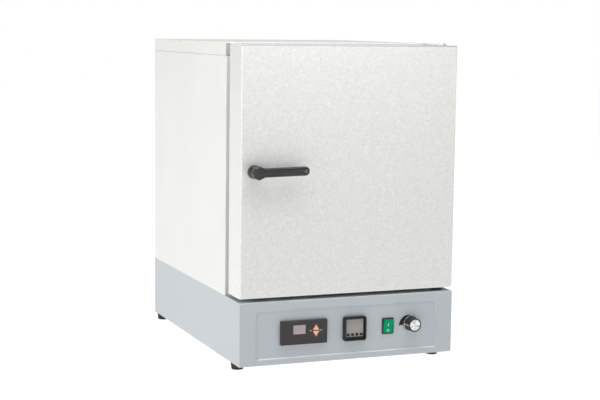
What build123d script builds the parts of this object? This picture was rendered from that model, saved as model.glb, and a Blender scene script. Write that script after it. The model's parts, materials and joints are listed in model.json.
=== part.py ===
"""Bench-top drying oven, in millimetres.

An insulated white cabinet stands on a grey instrument base. The door hangs on two pivot pins near its right edge
and is worked by a black lever. The base front holds a timer, a temperature controller, a green rocker switch and
the knob of an over-temperature limiter. X runs to the right as seen from the front, Y runs from the door to the
back, Z is up, and the origin lies on the floor under the middle of the whole object.
"""

from build123d import *
import os
from math import asin, cos, degrees, radians, sin

# Chamber and walls, which set the size of the whole oven
chamber_width = 340.0
chamber_height = 360.0
chamber_depth = 400.0
side_wall = 55.0
floor_wall = 66.0
roof_wall = 65.0
back_wall = 93.5
base_height = 124.0
foot_height = 15.0

# Sheet metal and fits
sheet = 1.5
bend_radius = 2.0
flange_depth = 14.0
cover_skirt = 25.0
seam_gap = 1.0
slip_gap = 0.2
bearing_clearance = 0.05
running_gap = 0.3
overcut = 1.0

# Door
door_thickness = 70.0
door_gap = 20.0
door_bottom_gap = 7.5
door_top_drop = 2.8
door_side_inset = 0.5
door_edge_radius = 3.0
liner_sheet = 1.0
liner_inset = 12.0
liner_step = 10.0
liner_corner_radius = 4.0
liner_rim_lap = 4.0
plug_reach = 15.0
plug_clearance = 6.0
plug_draft = 2.0
plug_corner_radius = 10.0
wool_gap = 5.0
wool_clearance = 1.5
gasket_width = 12.0
gasket_offset = 4.0
gasket_edge_radius = 4.0

# Chamber liner
chamber_sheet = 1.0
chamber_corner_radius = 6.0
chamber_back_radius = 3.0
chamber_flange = 14.0
chamber_flange_gap = 1.0
wiring_space = 30.0

# Pivot hinges
hinge_inset = 22.6
hinge_setback = 27.5
hinge_pin_diameter = 8.0
hinge_pin_reach = 18.0
hinge_pin_chamfer = 0.8
hinge_pin_head_diameter = 16.0
hinge_pin_head_height = 1.8
hinge_pin_head_radius = 1.5
bush_diameter = 16.0
bush_length = 24.0
bush_flange_diameter = 22.0
upper_bracket_thickness = 2.0
upper_bracket_width = 20.0
upper_bracket_drop = 24.0
lower_bracket_thickness = 4.0
lower_bracket_width = 24.0
bracket_screw_drop = 8.0
bracket_screw_spacing = 10.0

# Lever handle
handle_height = 250.0
rose_diameter = 26.0
rose_thickness = 12.0
rose_edge_radius = 6.0
neck_diameter = 20.0
hub_diameter = 26.5
hub_facets = 8
hub_bevel = 2.0
hub_bevel_inset = 2.5
hub_back_reach = 1.0
hub_back_taper = 3.0
handle_reach = 33.0
lever_length = 101.5
lever_height = 17.5
lever_thickness = 13.0
lever_setback = 1.5
lever_edge_radius = 4.0
lever_tilt = 1.1
spindle_width = 8.0
end_screw_diameter = 7.0
end_screw_depth = 1.2
end_screw_inset = 8.0
lever_turn = 90.0

# Latch
cam_thickness = 4.0
cam_stand_off = 1.0
cam_end_wall = 14.0
cam_sector_steps = 4
cam_slot_radius = 10.0
cam_rim_wall = 2.2
stud_diameter = 5.0
stud_side_clearance = 1.5
latch_gasket_gap = 2.4
keeper_width = 16.0
keeper_height = 46.0
keeper_thickness = 3.0

# Instrument panel
recess_depth = 2.5
recess_draft = 3.0
recess_side_margin = 32.0
recess_bottom_margin = 11.0
recess_top_margin = 16.0
recess_corner_radius = 9.0
panel_edge_radius = 1.0
cutout_gap = 0.5
instrument_height = 61.0

timer_controller_pitch = 106.9
timer_width = 96.0
timer_height = 46.5
timer_bezel_thickness = 7.0
timer_corner_radius = 1.0
timer_bezel_chamfer = 0.8
timer_case_width = 91.0
timer_case_height = 44.0
timer_case_depth = 78.0
timer_window_x = -10.2
timer_window_z = 6.0
timer_window_width = 25.4
timer_window_height = 17.6
timer_window_thickness = 1.5
timer_key_x = 23.9
timer_key_split = 2.6
timer_key_half_gap = 0.9
timer_key_width = 16.6
timer_key_height = 12.4

controller_switch_pitch = 72.5
controller_size = 48.0
controller_bezel_thickness = 9.0
controller_corner_radius = 4.5
controller_edge_radius = 2.2
controller_case_size = 44.5
controller_case_depth = 88.0
controller_face_inset = 4.0
controller_face_depth = 4.0
controller_screen_width = 36.0
controller_screen_height = 34.0
controller_screen_z = 1.5
controller_screen_thickness = 1.5
controller_key_width = 5.6
controller_key_height = 4.4
controller_key_pitch = 9.2
controller_key_z = -11.7
controller_key_count = 4
case_groove_height = 8.0
case_groove_margin = 6.0
case_groove_depth = 4.0
case_corner_radius = 1.5

key_travel = 0.8
key_proud = 1.0
key_body = 3.4
key_clearance = 0.35

switch_knob_pitch = 50.0
switch_width = 25.0
switch_height = 32.0
switch_flange_thickness = 2.5
switch_flange_radius = 1.5
switch_edge_radius = 0.8
switch_body_width = 22.2
switch_body_height = 30.0
switch_body_depth = 26.0
switch_blade_width = 0.8
switch_blade_height = 4.8
switch_blade_length = 9.0
switch_blade_pitch = 8.0
rocker_width = 19.2
rocker_radius = 13.8
rocker_gap = 0.4
rocker_pivot_depth = 3.0
rocker_centre_height = 3.6
rocker_slope = 0.18
rocker_swing = 10.0
rocker_pin_diameter = 3.0
rocker_pin_reach = 0.6

knob_inset = 90.0
knob_lift = 2.0
knob_skirt_diameter = 32.0
knob_skirt_thickness = 2.5
knob_base_diameter = 29.0
knob_front_diameter = 27.0
knob_length = 21.0
knob_edge_radius = 0.8
knob_cap_diameter = 24.4
knob_cap_thickness = 1.0
knob_flute_count = 14
knob_flute_radius = 1.8
knob_flute_depth = 1.2
knob_stand_off = 0.6
shaft_diameter = 6.0
shaft_grip = 14.0
thermostat_width = 36.0
thermostat_height = 46.0
thermostat_depth = 26.0
thermostat_blade_width = 6.3
thermostat_blade_length = 8.0
thermostat_blade_thickness = 0.8
thermostat_blade_offset = 8.0
thread_diameter = 10.0
thread_length = 8.0
panel_nut_width = 14.0
panel_nut_thickness = 2.0
knob_recess_depth = 6.0
knob_recess_diameter = 20.0

# Feet
foot_top_diameter = 27.0
foot_bottom_diameter = 23.0
foot_edge_radius = 1.2
foot_side_inset = 15.3
foot_front_inset = 56.0
foot_back_inset = 17.0
foot_screw_diameter = 5.0
foot_screw_head_diameter = 9.0
foot_screw_head_height = 3.5
foot_pocket_diameter = 11.0
foot_pocket_depth = 6.0
foot_screw_end = 8.0

# Fittings at the back of the base
inlet_inset = 75.0
inlet_flange_width = 31.0
inlet_flange_height = 24.0
inlet_flange_thickness = 2.5
inlet_body_width = 27.0
inlet_body_height = 19.6
inlet_socket_width = 24.0
inlet_socket_height = 16.4
inlet_socket_depth = 17.0
inlet_corner_cut = 4.5
inlet_wall = 3.0
inlet_pin_width = 2.0
inlet_pin_height = 4.0
inlet_pin_rise = 1.0
inlet_pin_length = 10.0
inlet_pin_spacing = 7.0
fuse_pitch = 45.0
fuse_diameter = 12.0
fuse_flange_diameter = 17.0
fuse_flange_thickness = 2.0
fuse_edge_radius = 0.8
fuse_slot_width = 1.6
fuse_slot_depth = 1.2
fuse_cap_length = 9.0
fuse_body_length = 32.0
louvre_count = 12
louvre_pitch = 12.0
louvre_width = 4.0
louvre_height = 48.0
louvre_inset = 165.0

# Exhaust vent at the back
vent_diameter = 36.0
vent_spigot_diameter = 34.0
vent_wall = 1.5
vent_reach = 43.0
vent_drop = 60.0
vent_collar_diameter = 60.0
vent_collar_thickness = 2.0

# Heating and shelves
heater_diameter = 8.5
heater_leg_spacing = 60.0
heater_bend_radius = 29.0
heater_leg_count = 4
heater_height = 14.0
heater_end_margin = 50.0
heater_tail = 34.0
floor_plate_height = 30.0
floor_plate_side_gap = 7.0
floor_plate_front_gap = 26.0
floor_plate_back_gap = 2.0
floor_slot_length = 60.0
floor_slot_width = 8.0
floor_slot_rows = 4
floor_slot_columns = 9
floor_slot_pitch_x = 34.0
floor_slot_pitch_y = 86.0

rail_sheet = 1.5
rail_reach = 11.0
rail_lip = 4.0
rail_front_gap = 25.0
rail_back_gap = 3.0
rail_first_height = 78.0
rail_pitch = 68.0
rail_count = 4
rail_top_margin = 20.0
shelf_side_gap = 4.0
shelf_front_gap = 31.0
shelf_back_gap = 3.0
shelf_frame_wire = 6.0
shelf_wire = 3.0
shelf_wire_count = 14
shelf_corner_radius = 12.0
lower_shelf_level = 0
upper_shelf_level = 2

probe_x = 90.0
probe_drop = 60.0
probe_diameter = 5.0
probe_reach = 70.0
probe_nut_diameter = 12.0
probe_nut_thickness = 5.0

# Parts inside the base
relay_inset = 75.0
relay_width = 45.0
relay_length = 58.0
relay_height = 23.0
relay_step_margin = 4.0
terminal_inset = 205.0
terminal_width = 96.0
terminal_depth = 22.0
terminal_height = 20.0
terminal_count = 8
terminal_screw_diameter = 6.0
terminal_screw_depth = 4.0
inner_parts_back_gap = 90.0

# Screws that show at the back
screw_head_diameter = 8.0
screw_head_height = 2.2
screw_head_radius = 1.0
screw_slot_length = 4.4
screw_slot_width = 1.0
screw_slot_depth = 0.8
screw_inset = 9.0

# Levels, planes and places worked out from the sizes above
body_width = chamber_width + 2 * side_wall
body_depth = door_thickness + door_gap + sheet + chamber_depth + back_wall
cabinet_height = floor_wall + chamber_height + roof_wall
y_front = (handle_reach - body_depth - vent_reach) / 2
y_back = y_front + body_depth
y_panel = y_front + recess_depth
y_door_back = y_front + door_thickness
y_liner = y_door_back + liner_step
y_face = y_door_back + door_gap
y_mouth = y_face + sheet
y_chamber_back = y_mouth + chamber_depth
y_handle = y_front - handle_reach
z_base = foot_height
z_deck = z_base + base_height
z_top = z_deck + cabinet_height
z_split = z_top - cover_skirt - seam_gap
z_door_bottom = z_deck + door_bottom_gap
z_door_top = z_top - door_top_drop
z_chamber = z_deck + floor_wall
z_chamber_top = z_chamber + chamber_height
z_instruments = z_base + instrument_height
z_knob = z_instruments + knob_lift
z_handle = z_deck + handle_height
z_fittings = z_base + base_height / 2
z_vent = z_chamber_top - vent_drop
z_mid_chamber = z_chamber + chamber_height / 2
half_width = body_width / 2
door_half_width = half_width - door_side_inset
plug_half_width = chamber_width / 2 - plug_clearance
plug_half_height = chamber_height / 2 - plug_clearance
hinge_x = half_width - hinge_inset
hinge_y = y_front + hinge_setback
gasket_reach = gasket_offset + gasket_width - plug_clearance
cam_slot_half = stud_diameter / 2 + stud_side_clearance
cam_rim_radius = cam_slot_radius + cam_slot_half + cam_rim_wall
handle_x = -(chamber_width / 2 + gasket_reach + latch_gasket_gap + cam_rim_radius)
knob_x = half_width - knob_inset
switch_x = knob_x - switch_knob_pitch
controller_x = switch_x - controller_switch_pitch
timer_x = controller_x - timer_controller_pitch
inlet_x = inlet_inset - half_width
fuse_x = inlet_x + fuse_pitch
louvre_x = half_width - louvre_inset
relay_x = half_width - relay_inset
terminal_x = terminal_inset - half_width
spindle_bore = spindle_width + 2 * bearing_clearance
y_timer = y_panel - timer_bezel_thickness
y_controller = y_panel - controller_bezel_thickness + controller_face_depth
y_switch = y_panel - switch_flange_thickness
y_rocker = y_switch + rocker_pivot_depth
y_knob_back = y_panel - knob_stand_off
y_knob_front = y_knob_back - knob_length


def block(x0, x1, y0, y1, z0, z1):
    """A box between two corners."""
    return Pos((x0 + x1) / 2, (y0 + y1) / 2, (z0 + z1) / 2) * Box(x1 - x0, y1 - y0, z1 - z0)


def front_plane(y):
    """The sketch plane at depth y seen from the front: local x is X and local y is Z."""
    return Plane(origin=(0, y, 0), x_dir=(1, 0, 0), z_dir=(0, -1, 0))


def slab(sketch, y0, y1):
    """A front-view sketch with a thickness from depth y0 to y1."""
    return extrude(front_plane(y1) * sketch, amount=y1 - y0)


def rod(diameter, x, z, y0, y1):
    """A round bar along Y."""
    return Pos(x, (y0 + y1) / 2, z) * Rot(90, 0, 0) * Cylinder(diameter / 2, y1 - y0)


def post(diameter, x, y, z0, z1):
    """A round bar along Z."""
    return Pos(x, y, (z0 + z1) / 2) * Cylinder(diameter / 2, z1 - z0)


def rounded(width, height, radius, x=0.0, z=0.0):
    """A rounded rectangle on a front view."""
    return Pos(x, z) * RectangleRounded(width, height, radius)


def prism_along_x(points, x0, x1):
    """A closed outline of (Y, Z) points with a width from x0 to x1."""
    face = make_face(Polyline(*[(x0, y, z) for y, z in points], close=True))
    return extrude(face, amount=x1 - x0, dir=(1, 0, 0))


def prism_along_y(points, y0, y1):
    """A closed outline of (X, Z) points with a depth from y0 to y1."""
    face = make_face(Polyline(*[(x, y0, z) for x, z in points], close=True))
    return extrude(face, amount=y1 - y0, dir=(0, 1, 0))


def rim(shape, axis, index):
    """One of a shape's round edges, counted along an axis."""
    return shape.edges().filter_by(GeomType.CIRCLE).sort_by(axis)[index]


def mirrored(shape):
    """The same piece on the left side."""
    return mirror(shape, about=Plane.YZ)


def save(name, shape):
    """Write one piece, or one group of like pieces, under its node name."""
    if isinstance(shape, list):
        shape = Compound(children=[solid for piece in shape for solid in piece.solids()])
    else:
        shape = shape.solid()
    export_step(shape, f"parts/{name}.step")


# The grey base

def make_base_tray():
    """Folded tray: floor, sides and back, open to the front and the top."""
    y0 = y_front + sheet + seam_gap / 2
    tray = block(-half_width, half_width, y0, y_back, z_base, z_deck)
    upright = tray.edges().filter_by(Axis.Z).group_by(Axis.Y)[-1]
    tray = fillet(upright, bend_radius)
    inner = half_width - sheet
    tray -= block(-inner, inner, y0 - overcut, y_back - sheet, z_base + sheet, z_deck + overcut)
    for x, y in foot_places():
        tray -= post(foot_screw_diameter + 2 * slip_gap, x, y, z_base - overcut, z_base + sheet + overcut)
    tray -= inlet_opening(slip_gap)
    tray -= rod(fuse_diameter + 2 * slip_gap, fuse_x, z_fittings, y_back - 2 * sheet, y_back + overcut)
    first = louvre_x - (louvre_count - 1) * louvre_pitch / 2
    slot = Rot(0, 0, 90) * SlotOverall(louvre_height, louvre_width)
    slots = [Pos(first + i * louvre_pitch, z_fittings) * slot for i in range(louvre_count)]
    return tray - slab(Sketch() + slots, y_back - 2 * sheet, y_back + overcut)


def inlet_opening(clearance):
    """The cut-out that the body of the mains inlet passes through."""
    width = inlet_body_width + 2 * clearance
    height = inlet_body_height + 2 * clearance
    return slab(rounded(width, height, 2.5, inlet_x, z_fittings), y_back - 2 * sheet, y_back + overcut)


def make_base_deck():
    """Deck plate between the tray walls, with a folded edge on three sides."""
    reach = half_width - sheet - slip_gap
    y0 = y_front + flange_depth + seam_gap
    y1 = y_back - sheet - slip_gap
    z0 = z_deck - flange_depth
    deck = block(-reach, reach, y0, y1, z0, z_deck)
    return deck - block(-reach + sheet, reach - sheet, y0 - overcut, y1 - sheet, z0 - overcut, z_deck - sheet)


def recess_sketch(inset):
    """The outline of the panel recess, drawn in by an inset."""
    width = body_width - 2 * recess_side_margin - 2 * inset
    height = base_height - recess_bottom_margin - recess_top_margin - 2 * inset
    middle = z_base + (base_height + recess_bottom_margin - recess_top_margin) / 2
    return rounded(width, height, recess_corner_radius - inset / 2, 0, middle)


def make_control_panel():
    """Folded front panel, with a pressed recess that holds the instruments."""
    y1 = y_front + flange_depth
    panel = block(-half_width, half_width, y_front, y1, z_base, z_deck)
    panel = fillet(panel.edges().filter_by(Axis.X).group_by(Axis.Y)[0], bend_radius)
    panel = fillet(panel.edges().filter_by(Axis.Z).group_by(Axis.Y)[0], panel_edge_radius)
    reach = half_width - sheet - slip_gap
    far = half_width + overcut
    y_inner, y_cut = y_front + sheet, y1 + overcut
    panel -= block(-reach + sheet, reach - sheet, y_inner, y_cut, z_base + 2 * sheet, z_deck - sheet)
    for side in (-1, 1):
        panel -= block(*sorted((side * reach, side * far)), y_inner, y_cut, z_base - overcut, z_deck + overcut)
    panel -= block(-far, far, y_inner, y_cut, z_base - overcut, z_base + sheet)
    front = loft([
        front_plane(y_front - 0.01) * recess_sketch(0), front_plane(y_panel) * recess_sketch(recess_draft)])
    back = loft([
        front_plane(y_front + sheet) * recess_sketch(-sheet / 2),
        front_plane(y_panel + sheet) * recess_sketch(recess_draft - sheet / 2)])
    panel = (panel + back) - front
    timer_cut_width, timer_cut_height = timer_case_width + 2 * cutout_gap, timer_case_height + 2 * cutout_gap
    cuts = rounded(timer_cut_width, timer_cut_height, case_corner_radius, timer_x, z_instruments)
    controller_cut = controller_case_size + 2 * cutout_gap
    cuts += rounded(controller_cut, controller_cut, case_corner_radius, controller_x, z_instruments)
    cuts += rounded(switch_body_width + 2 * slip_gap, switch_body_height + 2 * slip_gap, 1, switch_x, z_instruments)
    cuts += Pos(knob_x, z_knob) * Circle(thread_diameter / 2 + slip_gap)
    return panel - slab(cuts, y_panel - overcut, y_panel + sheet + overcut)


def foot_places():
    """The places of the four feet on the floor."""
    x = half_width - foot_side_inset
    return [(s * x, y) for y in (y_front + foot_front_inset, y_back - foot_back_inset) for s in (-1, 1)]


def make_feet():
    """Four tapered rubber feet with a pocket for the screw head."""
    cone = Pos(0, 0, foot_height / 2) * Cone(foot_bottom_diameter / 2, foot_top_diameter / 2, foot_height)
    cone = fillet(rim(cone, Axis.Z, 0), foot_edge_radius)
    cone -= post(foot_pocket_diameter, 0, 0, -overcut, foot_pocket_depth)
    cone -= post(foot_screw_diameter + 2 * slip_gap, 0, 0, foot_pocket_depth - overcut, foot_height + overcut)
    return [Pos(x, y, 0) * cone for x, y in foot_places()]


def make_foot_screws():
    """Pan-head screws that hold the feet, with a cross-cut slot."""
    top = z_base + sheet + foot_screw_end
    head_bottom = foot_pocket_depth - foot_screw_head_height
    head = post(foot_screw_head_diameter, 0, 0, head_bottom, foot_pocket_depth)
    head = fillet(rim(head, Axis.Z, 0), 1.0)
    screw = head + post(foot_screw_diameter, 0, 0, foot_pocket_depth, top)
    screw -= Pos(0, 0, head_bottom) * Box(foot_screw_head_diameter, 1.2, 2.4)
    return [Pos(x, y, 0) * screw for x, y in foot_places()]


# The instruments on the base

def make_case(width, height, depth, x):
    """A plain instrument case with a groove across its back for the terminals."""
    y_end = y_panel + depth
    case = slab(rounded(width, height, case_corner_radius, x, z_instruments), y_panel, y_end)
    groove = rounded(width - 2 * case_groove_margin, case_groove_height, 1, x, z_instruments)
    return case - slab(groove, y_end - case_groove_depth, y_end + overcut)


def key_pocket_bottom(y_surface):
    """The depth of a key's pocket below the surface it stands in."""
    return y_surface + key_body + key_travel + running_gap


def timer_key_sketch(side, clearance):
    """A triangle that points up for side 1 and down for side -1, grown by a clearance."""
    half, base = timer_key_width / 2, side * timer_key_half_gap
    tip = side * (timer_key_half_gap + timer_key_height)
    triangle = make_face(Polyline((-half, base), (half, base), (0, tip), close=True))
    if clearance:
        triangle = offset(triangle, amount=clearance, kind=Kind.INTERSECTION)
    return Pos(timer_x + timer_key_x, z_instruments + timer_key_split) * triangle


def make_timer_bezel():
    """Black front frame of the timer with a window pocket and two key pockets."""
    outline = rounded(timer_width, timer_height, timer_corner_radius, timer_x, z_instruments)
    bezel = slab(outline, y_timer, y_panel)
    front = bezel.faces().sort_by(Axis.Y)[0]
    bezel = chamfer(front.edges(), timer_bezel_chamfer)
    x, z = timer_x + timer_window_x, z_instruments + timer_window_z
    window = rounded(timer_window_width + 2 * slip_gap, timer_window_height + 2 * slip_gap, 1, x, z)
    bezel -= slab(window, y_timer - overcut, y_timer + timer_window_thickness)
    for side in (-1, 1):
        bezel -= slab(timer_key_sketch(side, key_clearance), y_timer - overcut, key_pocket_bottom(y_timer))
    return bezel


def make_timer_window():
    """Tinted window over the timer's figures."""
    x, z = timer_x + timer_window_x, z_instruments + timer_window_z
    window = rounded(timer_window_width, timer_window_height, 0.8, x, z)
    return slab(window, y_timer + slip_gap, y_timer + timer_window_thickness)


def make_timer_key(side):
    """One triangular key of the timer."""
    key = slab(timer_key_sketch(side, 0), y_timer - key_proud, y_timer + key_body)
    return chamfer(key.faces().sort_by(Axis.Y)[0].edges(), 0.5)


def make_timer_case():
    """Case of the timer behind the panel, with its terminal strip."""
    return make_case(timer_case_width, timer_case_height, timer_case_depth, timer_x)


def controller_front():
    """The depth of the foremost rim of the controller's bezel."""
    return y_panel - controller_bezel_thickness


def controller_key_x(index):
    """The middle of one of the four keys in the row."""
    return controller_x + (index - (controller_key_count - 1) / 2) * controller_key_pitch


def make_controller_bezel():
    """Rounded glossy frame of the controller with a sunk face for the screen and the key row."""
    size = controller_size
    outline = rounded(size, size, controller_corner_radius, controller_x, z_instruments)
    bezel = slab(outline, controller_front(), y_panel)
    bezel = fillet(bezel.faces().sort_by(Axis.Y)[0].edges(), controller_edge_radius)
    face_size = size - 2 * controller_face_inset
    face = rounded(face_size, face_size, 2, controller_x, z_instruments)
    bezel -= slab(face, controller_front() - overcut, y_controller)
    width, height = controller_screen_width + 2 * slip_gap, controller_screen_height + 2 * slip_gap
    screen = rounded(width, height, 1, controller_x, z_instruments + controller_screen_z)
    bezel -= slab(screen, y_controller - overcut, y_controller + controller_screen_thickness)
    return bezel - slab(controller_key_holes(), y_controller - overcut, key_pocket_bottom(y_controller))


def controller_key_holes():
    """The row of holes that the controller's keys stand in."""
    width, height = controller_key_width + 2 * key_clearance, controller_key_height + 2 * key_clearance
    hole = rounded(width, height, 1, 0, z_instruments + controller_key_z)
    return Sketch() + [Pos(controller_key_x(i), 0) * hole for i in range(controller_key_count)]


def make_controller_screen():
    """Display pane of the controller, with the holes for its keys."""
    z = z_instruments + controller_screen_z
    pane = rounded(controller_screen_width, controller_screen_height, 0.8, controller_x, z)
    pane -= controller_key_holes()
    return slab(pane, y_controller + slip_gap, y_controller + controller_screen_thickness)


def make_controller_key(index):
    """One small key of the controller."""
    z = z_instruments + controller_key_z
    outline = rounded(controller_key_width, controller_key_height, 0.8, controller_key_x(index), z)
    key = slab(outline, y_controller - key_proud, y_controller + key_body)
    return fillet(key.faces().sort_by(Axis.Y)[0].edges(), 0.4)


def make_controller_case():
    """Case of the controller behind the panel."""
    return make_case(controller_case_size, controller_case_size, controller_case_depth, controller_x)


def make_switch_body():
    """Housing of the rocker switch: flange, body and a round trough for the rocker."""
    flange = rounded(switch_width, switch_height, switch_flange_radius, switch_x, z_instruments)
    body = slab(flange, y_switch, y_panel)
    body = fillet(body.faces().sort_by(Axis.Y)[0].edges(), switch_edge_radius)
    core = rounded(switch_body_width, switch_body_height, 1, switch_x, z_instruments)
    body += slab(core, y_panel, y_panel + switch_body_depth)
    half = rocker_width / 2 + running_gap
    trough = rocker_radius + rocker_gap
    body -= Pos(switch_x, y_rocker, z_instruments) * Rot(0, 90, 0) * Cylinder(trough, 2 * half)
    body -= block(switch_x - half, switch_x + half, y_switch - overcut, y_rocker,
                  z_instruments - trough, z_instruments + trough)
    pin = rocker_pin_diameter / 2 + bearing_clearance
    reach = half + rocker_pin_reach + running_gap
    body -= Pos(switch_x, y_rocker, z_instruments) * Rot(0, 90, 0) * Cylinder(pin, 2 * reach)
    blade = Box(switch_blade_width, 2 * switch_blade_length, switch_blade_height)
    for i in (-1, 0, 1):
        body += Pos(switch_x, y_panel + switch_body_depth, z_instruments + i * switch_blade_pitch) * blade
    return body


def make_switch_rocker():
    """Rocker with a shallow valley across its front, tipped to its lower side."""
    round_body = Rot(0, 90, 0) * Cylinder(rocker_radius, rocker_width)
    far = rocker_radius + 2
    lip = -rocker_centre_height - rocker_slope * far
    waste = prism_along_x([(-rocker_centre_height, 0), (lip, far), (-2 * far, far), (-2 * far, -far), (lip, -far)],
                          -rocker_width, rocker_width)
    rocker = round_body - waste
    rocker += Rot(0, 90, 0) * Cylinder(rocker_pin_diameter / 2, rocker_width + 2 * (running_gap + rocker_pin_reach))
    return Pos(switch_x, y_rocker, z_instruments) * Rot(rocker_swing, 0, 0) * rocker


def make_knob():
    """Fluted knob with a skirt, turned about Y with its pointer to the left."""
    skirt = rod(knob_skirt_diameter, 0, 0, -knob_skirt_thickness, 0)
    skirt = fillet(rim(skirt, Axis.Y, 0), knob_edge_radius)
    grip_length = knob_length - knob_skirt_thickness
    grip = Pos(0, -knob_skirt_thickness - grip_length / 2, 0) * Rot(90, 0, 0) * Cone(
        knob_base_diameter / 2, knob_front_diameter / 2, grip_length)
    grip = fillet(rim(grip, Axis.Y, 0), knob_edge_radius)
    flute_x = knob_base_diameter / 2 + knob_flute_radius - knob_flute_depth
    flute = rod(2 * knob_flute_radius, flute_x, 0, -knob_length - overcut, -knob_skirt_thickness)
    for i in range(knob_flute_count):
        grip -= Rot(0, i * 360 / knob_flute_count, 0) * flute
    knob = skirt + grip
    knob -= rod(knob_cap_diameter + 2 * slip_gap, 0, 0, -knob_length - overcut, -knob_length + knob_cap_thickness)
    knob -= rod(shaft_diameter + 2 * bearing_clearance, 0, 0, -shaft_grip, overcut)
    knob -= rod(knob_recess_diameter, 0, 0, -knob_recess_depth, overcut)
    return Pos(knob_x, y_knob_back, z_knob) * knob


def make_knob_cap():
    """Aluminium disc set into the knob's front."""
    return rod(knob_cap_diameter, knob_x, z_knob, y_knob_front, y_knob_front + knob_cap_thickness)


def make_limiter_shaft():
    """Steel shaft that joins the knob to the limiter."""
    y0 = y_knob_back - shaft_grip + running_gap
    return rod(shaft_diameter, knob_x, z_knob, y0, y_panel + sheet + thermostat_depth / 2)


def make_limiter_thermostat():
    """Capillary thermostat behind the panel: body, threaded neck and two blades."""
    y0 = y_panel + sheet
    body = slab(rounded(thermostat_width, thermostat_height, 3, knob_x, z_knob), y0, y0 + thermostat_depth)
    body += rod(thread_diameter, knob_x, z_knob, y0 - thread_length, y0)
    bore_end = y0 + thermostat_depth / 2 + running_gap
    body -= rod(shaft_diameter + 2 * bearing_clearance, knob_x, z_knob, y0 - thread_length - overcut, bore_end)
    blade = Box(thermostat_blade_width, 2 * thermostat_blade_length, thermostat_blade_thickness)
    for side in (-1, 1):
        body += Pos(knob_x + side * thermostat_blade_offset, y0 + thermostat_depth, z_knob) * blade
    return body


def make_limiter_nut():
    """Hexagon nut that clamps the limiter to the panel, under the knob."""
    hexagon = Pos(knob_x, z_knob) * RegularPolygon(panel_nut_width / 2, 6, major_radius=False)
    y0 = y_panel - panel_nut_thickness
    nut = slab(Sketch() + hexagon, y0, y_panel)
    return nut - rod(thread_diameter + 2 * slip_gap, knob_x, z_knob, y0 - overcut, y_panel + overcut)


# Electrical parts in the base

def make_solid_state_relay():
    """Solid-state relay flat on the tray floor, with its two terminal steps."""
    y1 = y_back - inner_parts_back_gap
    z0 = z_base + sheet
    half = relay_width / 2
    relay = block(relay_x - half, relay_x + half, y1 - relay_length, y1, z0, z0 + relay_height)
    for y in (y1 - relay_length / 8, y1 - relay_length * 7 / 8):
        step = Box(relay_width - 2 * relay_step_margin, relay_length / 8, relay_height / 2)
        relay -= Pos(relay_x, y, z0 + relay_height) * step
    return relay


def make_terminal_block():
    """Screw terminal strip that joins the mains inlet to the instruments."""
    y1 = y_back - inner_parts_back_gap
    z0 = z_base + sheet
    x0, x1 = terminal_x - terminal_width / 2, terminal_x + terminal_width / 2
    profile = [(y1, z0), (y1, z0 + terminal_height / 2), (y1 - terminal_depth / 4, z0 + terminal_height),
               (y1 - terminal_depth * 3 / 4, z0 + terminal_height), (y1 - terminal_depth, z0 + terminal_height / 2),
               (y1 - terminal_depth, z0)]
    strip = prism_along_x(profile, x0, x1)
    pitch = terminal_width / terminal_count
    top = z0 + terminal_height
    for i in range(terminal_count):
        x = x0 + (i + 0.5) * pitch
        strip -= post(terminal_screw_diameter, x, y1 - terminal_depth / 2, top - terminal_screw_depth, top + overcut)
    return strip


def make_power_inlet():
    """Appliance inlet in the tray's back: flange, body, socket and three pins."""
    z = z_fittings
    y_mouth_inlet = y_back + inlet_flange_thickness
    y_bottom = y_mouth_inlet - inlet_socket_depth
    inlet = slab(rounded(inlet_flange_width, inlet_flange_height, 3, inlet_x, z), y_back, y_mouth_inlet)
    inlet += slab(rounded(inlet_body_width, inlet_body_height, 2.5, inlet_x, z), y_bottom - inlet_wall, y_back)
    half_w, half_h, cut = inlet_socket_width / 2, inlet_socket_height / 2, inlet_corner_cut
    mouth = [(-half_w, -half_h), (half_w, -half_h), (half_w, half_h - cut), (half_w - cut, half_h),
             (-half_w + cut, half_h), (-half_w, half_h - cut)]
    mouth = [(inlet_x + x, z + dz) for x, dz in mouth]
    inlet -= prism_along_y(mouth, y_bottom, y_mouth_inlet + overcut)
    pin = Box(inlet_pin_width, 2 * inlet_pin_length, inlet_pin_height)
    for x, dz in ((-inlet_pin_spacing, -1), (0, 2), (inlet_pin_spacing, -1)):
        inlet += Pos(inlet_x + x, y_bottom, z + dz * inlet_pin_rise) * pin
    return inlet


def make_fuse_holder():
    """Round panel fuse holder with a slotted cap."""
    holder = rod(fuse_diameter, fuse_x, z_fittings, y_back - fuse_body_length, y_back)
    y_flange = y_back + fuse_flange_thickness
    holder += rod(fuse_flange_diameter, fuse_x, z_fittings, y_back, y_flange)
    cap = rod(fuse_diameter, fuse_x, z_fittings, y_flange, y_back + fuse_cap_length)
    cap = fillet(rim(cap, Axis.Y, -1), fuse_edge_radius)
    slot = Box(fuse_diameter, 2 * fuse_slot_depth, fuse_slot_width)
    slot = Pos(fuse_x, y_back + fuse_cap_length, z_fittings) * slot
    return holder + cap - slot


# The white cabinet

def make_side_panel():
    """Right side panel: folded in at the front and back, and stepped in under the cover's skirt."""
    tall = block(half_width - flange_depth, half_width, y_face, y_back, z_deck, z_split)
    corner = tall.edges().filter_by(Axis.Z).sort_by(Axis.X)[-2:]
    panel = fillet(corner, bend_radius)
    x0, x1 = half_width - flange_depth - overcut, half_width - sheet
    panel -= block(x0, x1, y_mouth, y_back - sheet, z_deck - overcut, z_split + overcut)
    inner = half_width - 2 * sheet - slip_gap
    y0, y1 = y_mouth + slip_gap, y_back - sheet - slip_gap
    panel += block(inner, half_width - sheet, y0, y1, z_split - sheet, z_split)
    panel += block(inner, inner + sheet, y0, y1, z_split - sheet, z_top - sheet - slip_gap)
    return panel


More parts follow.
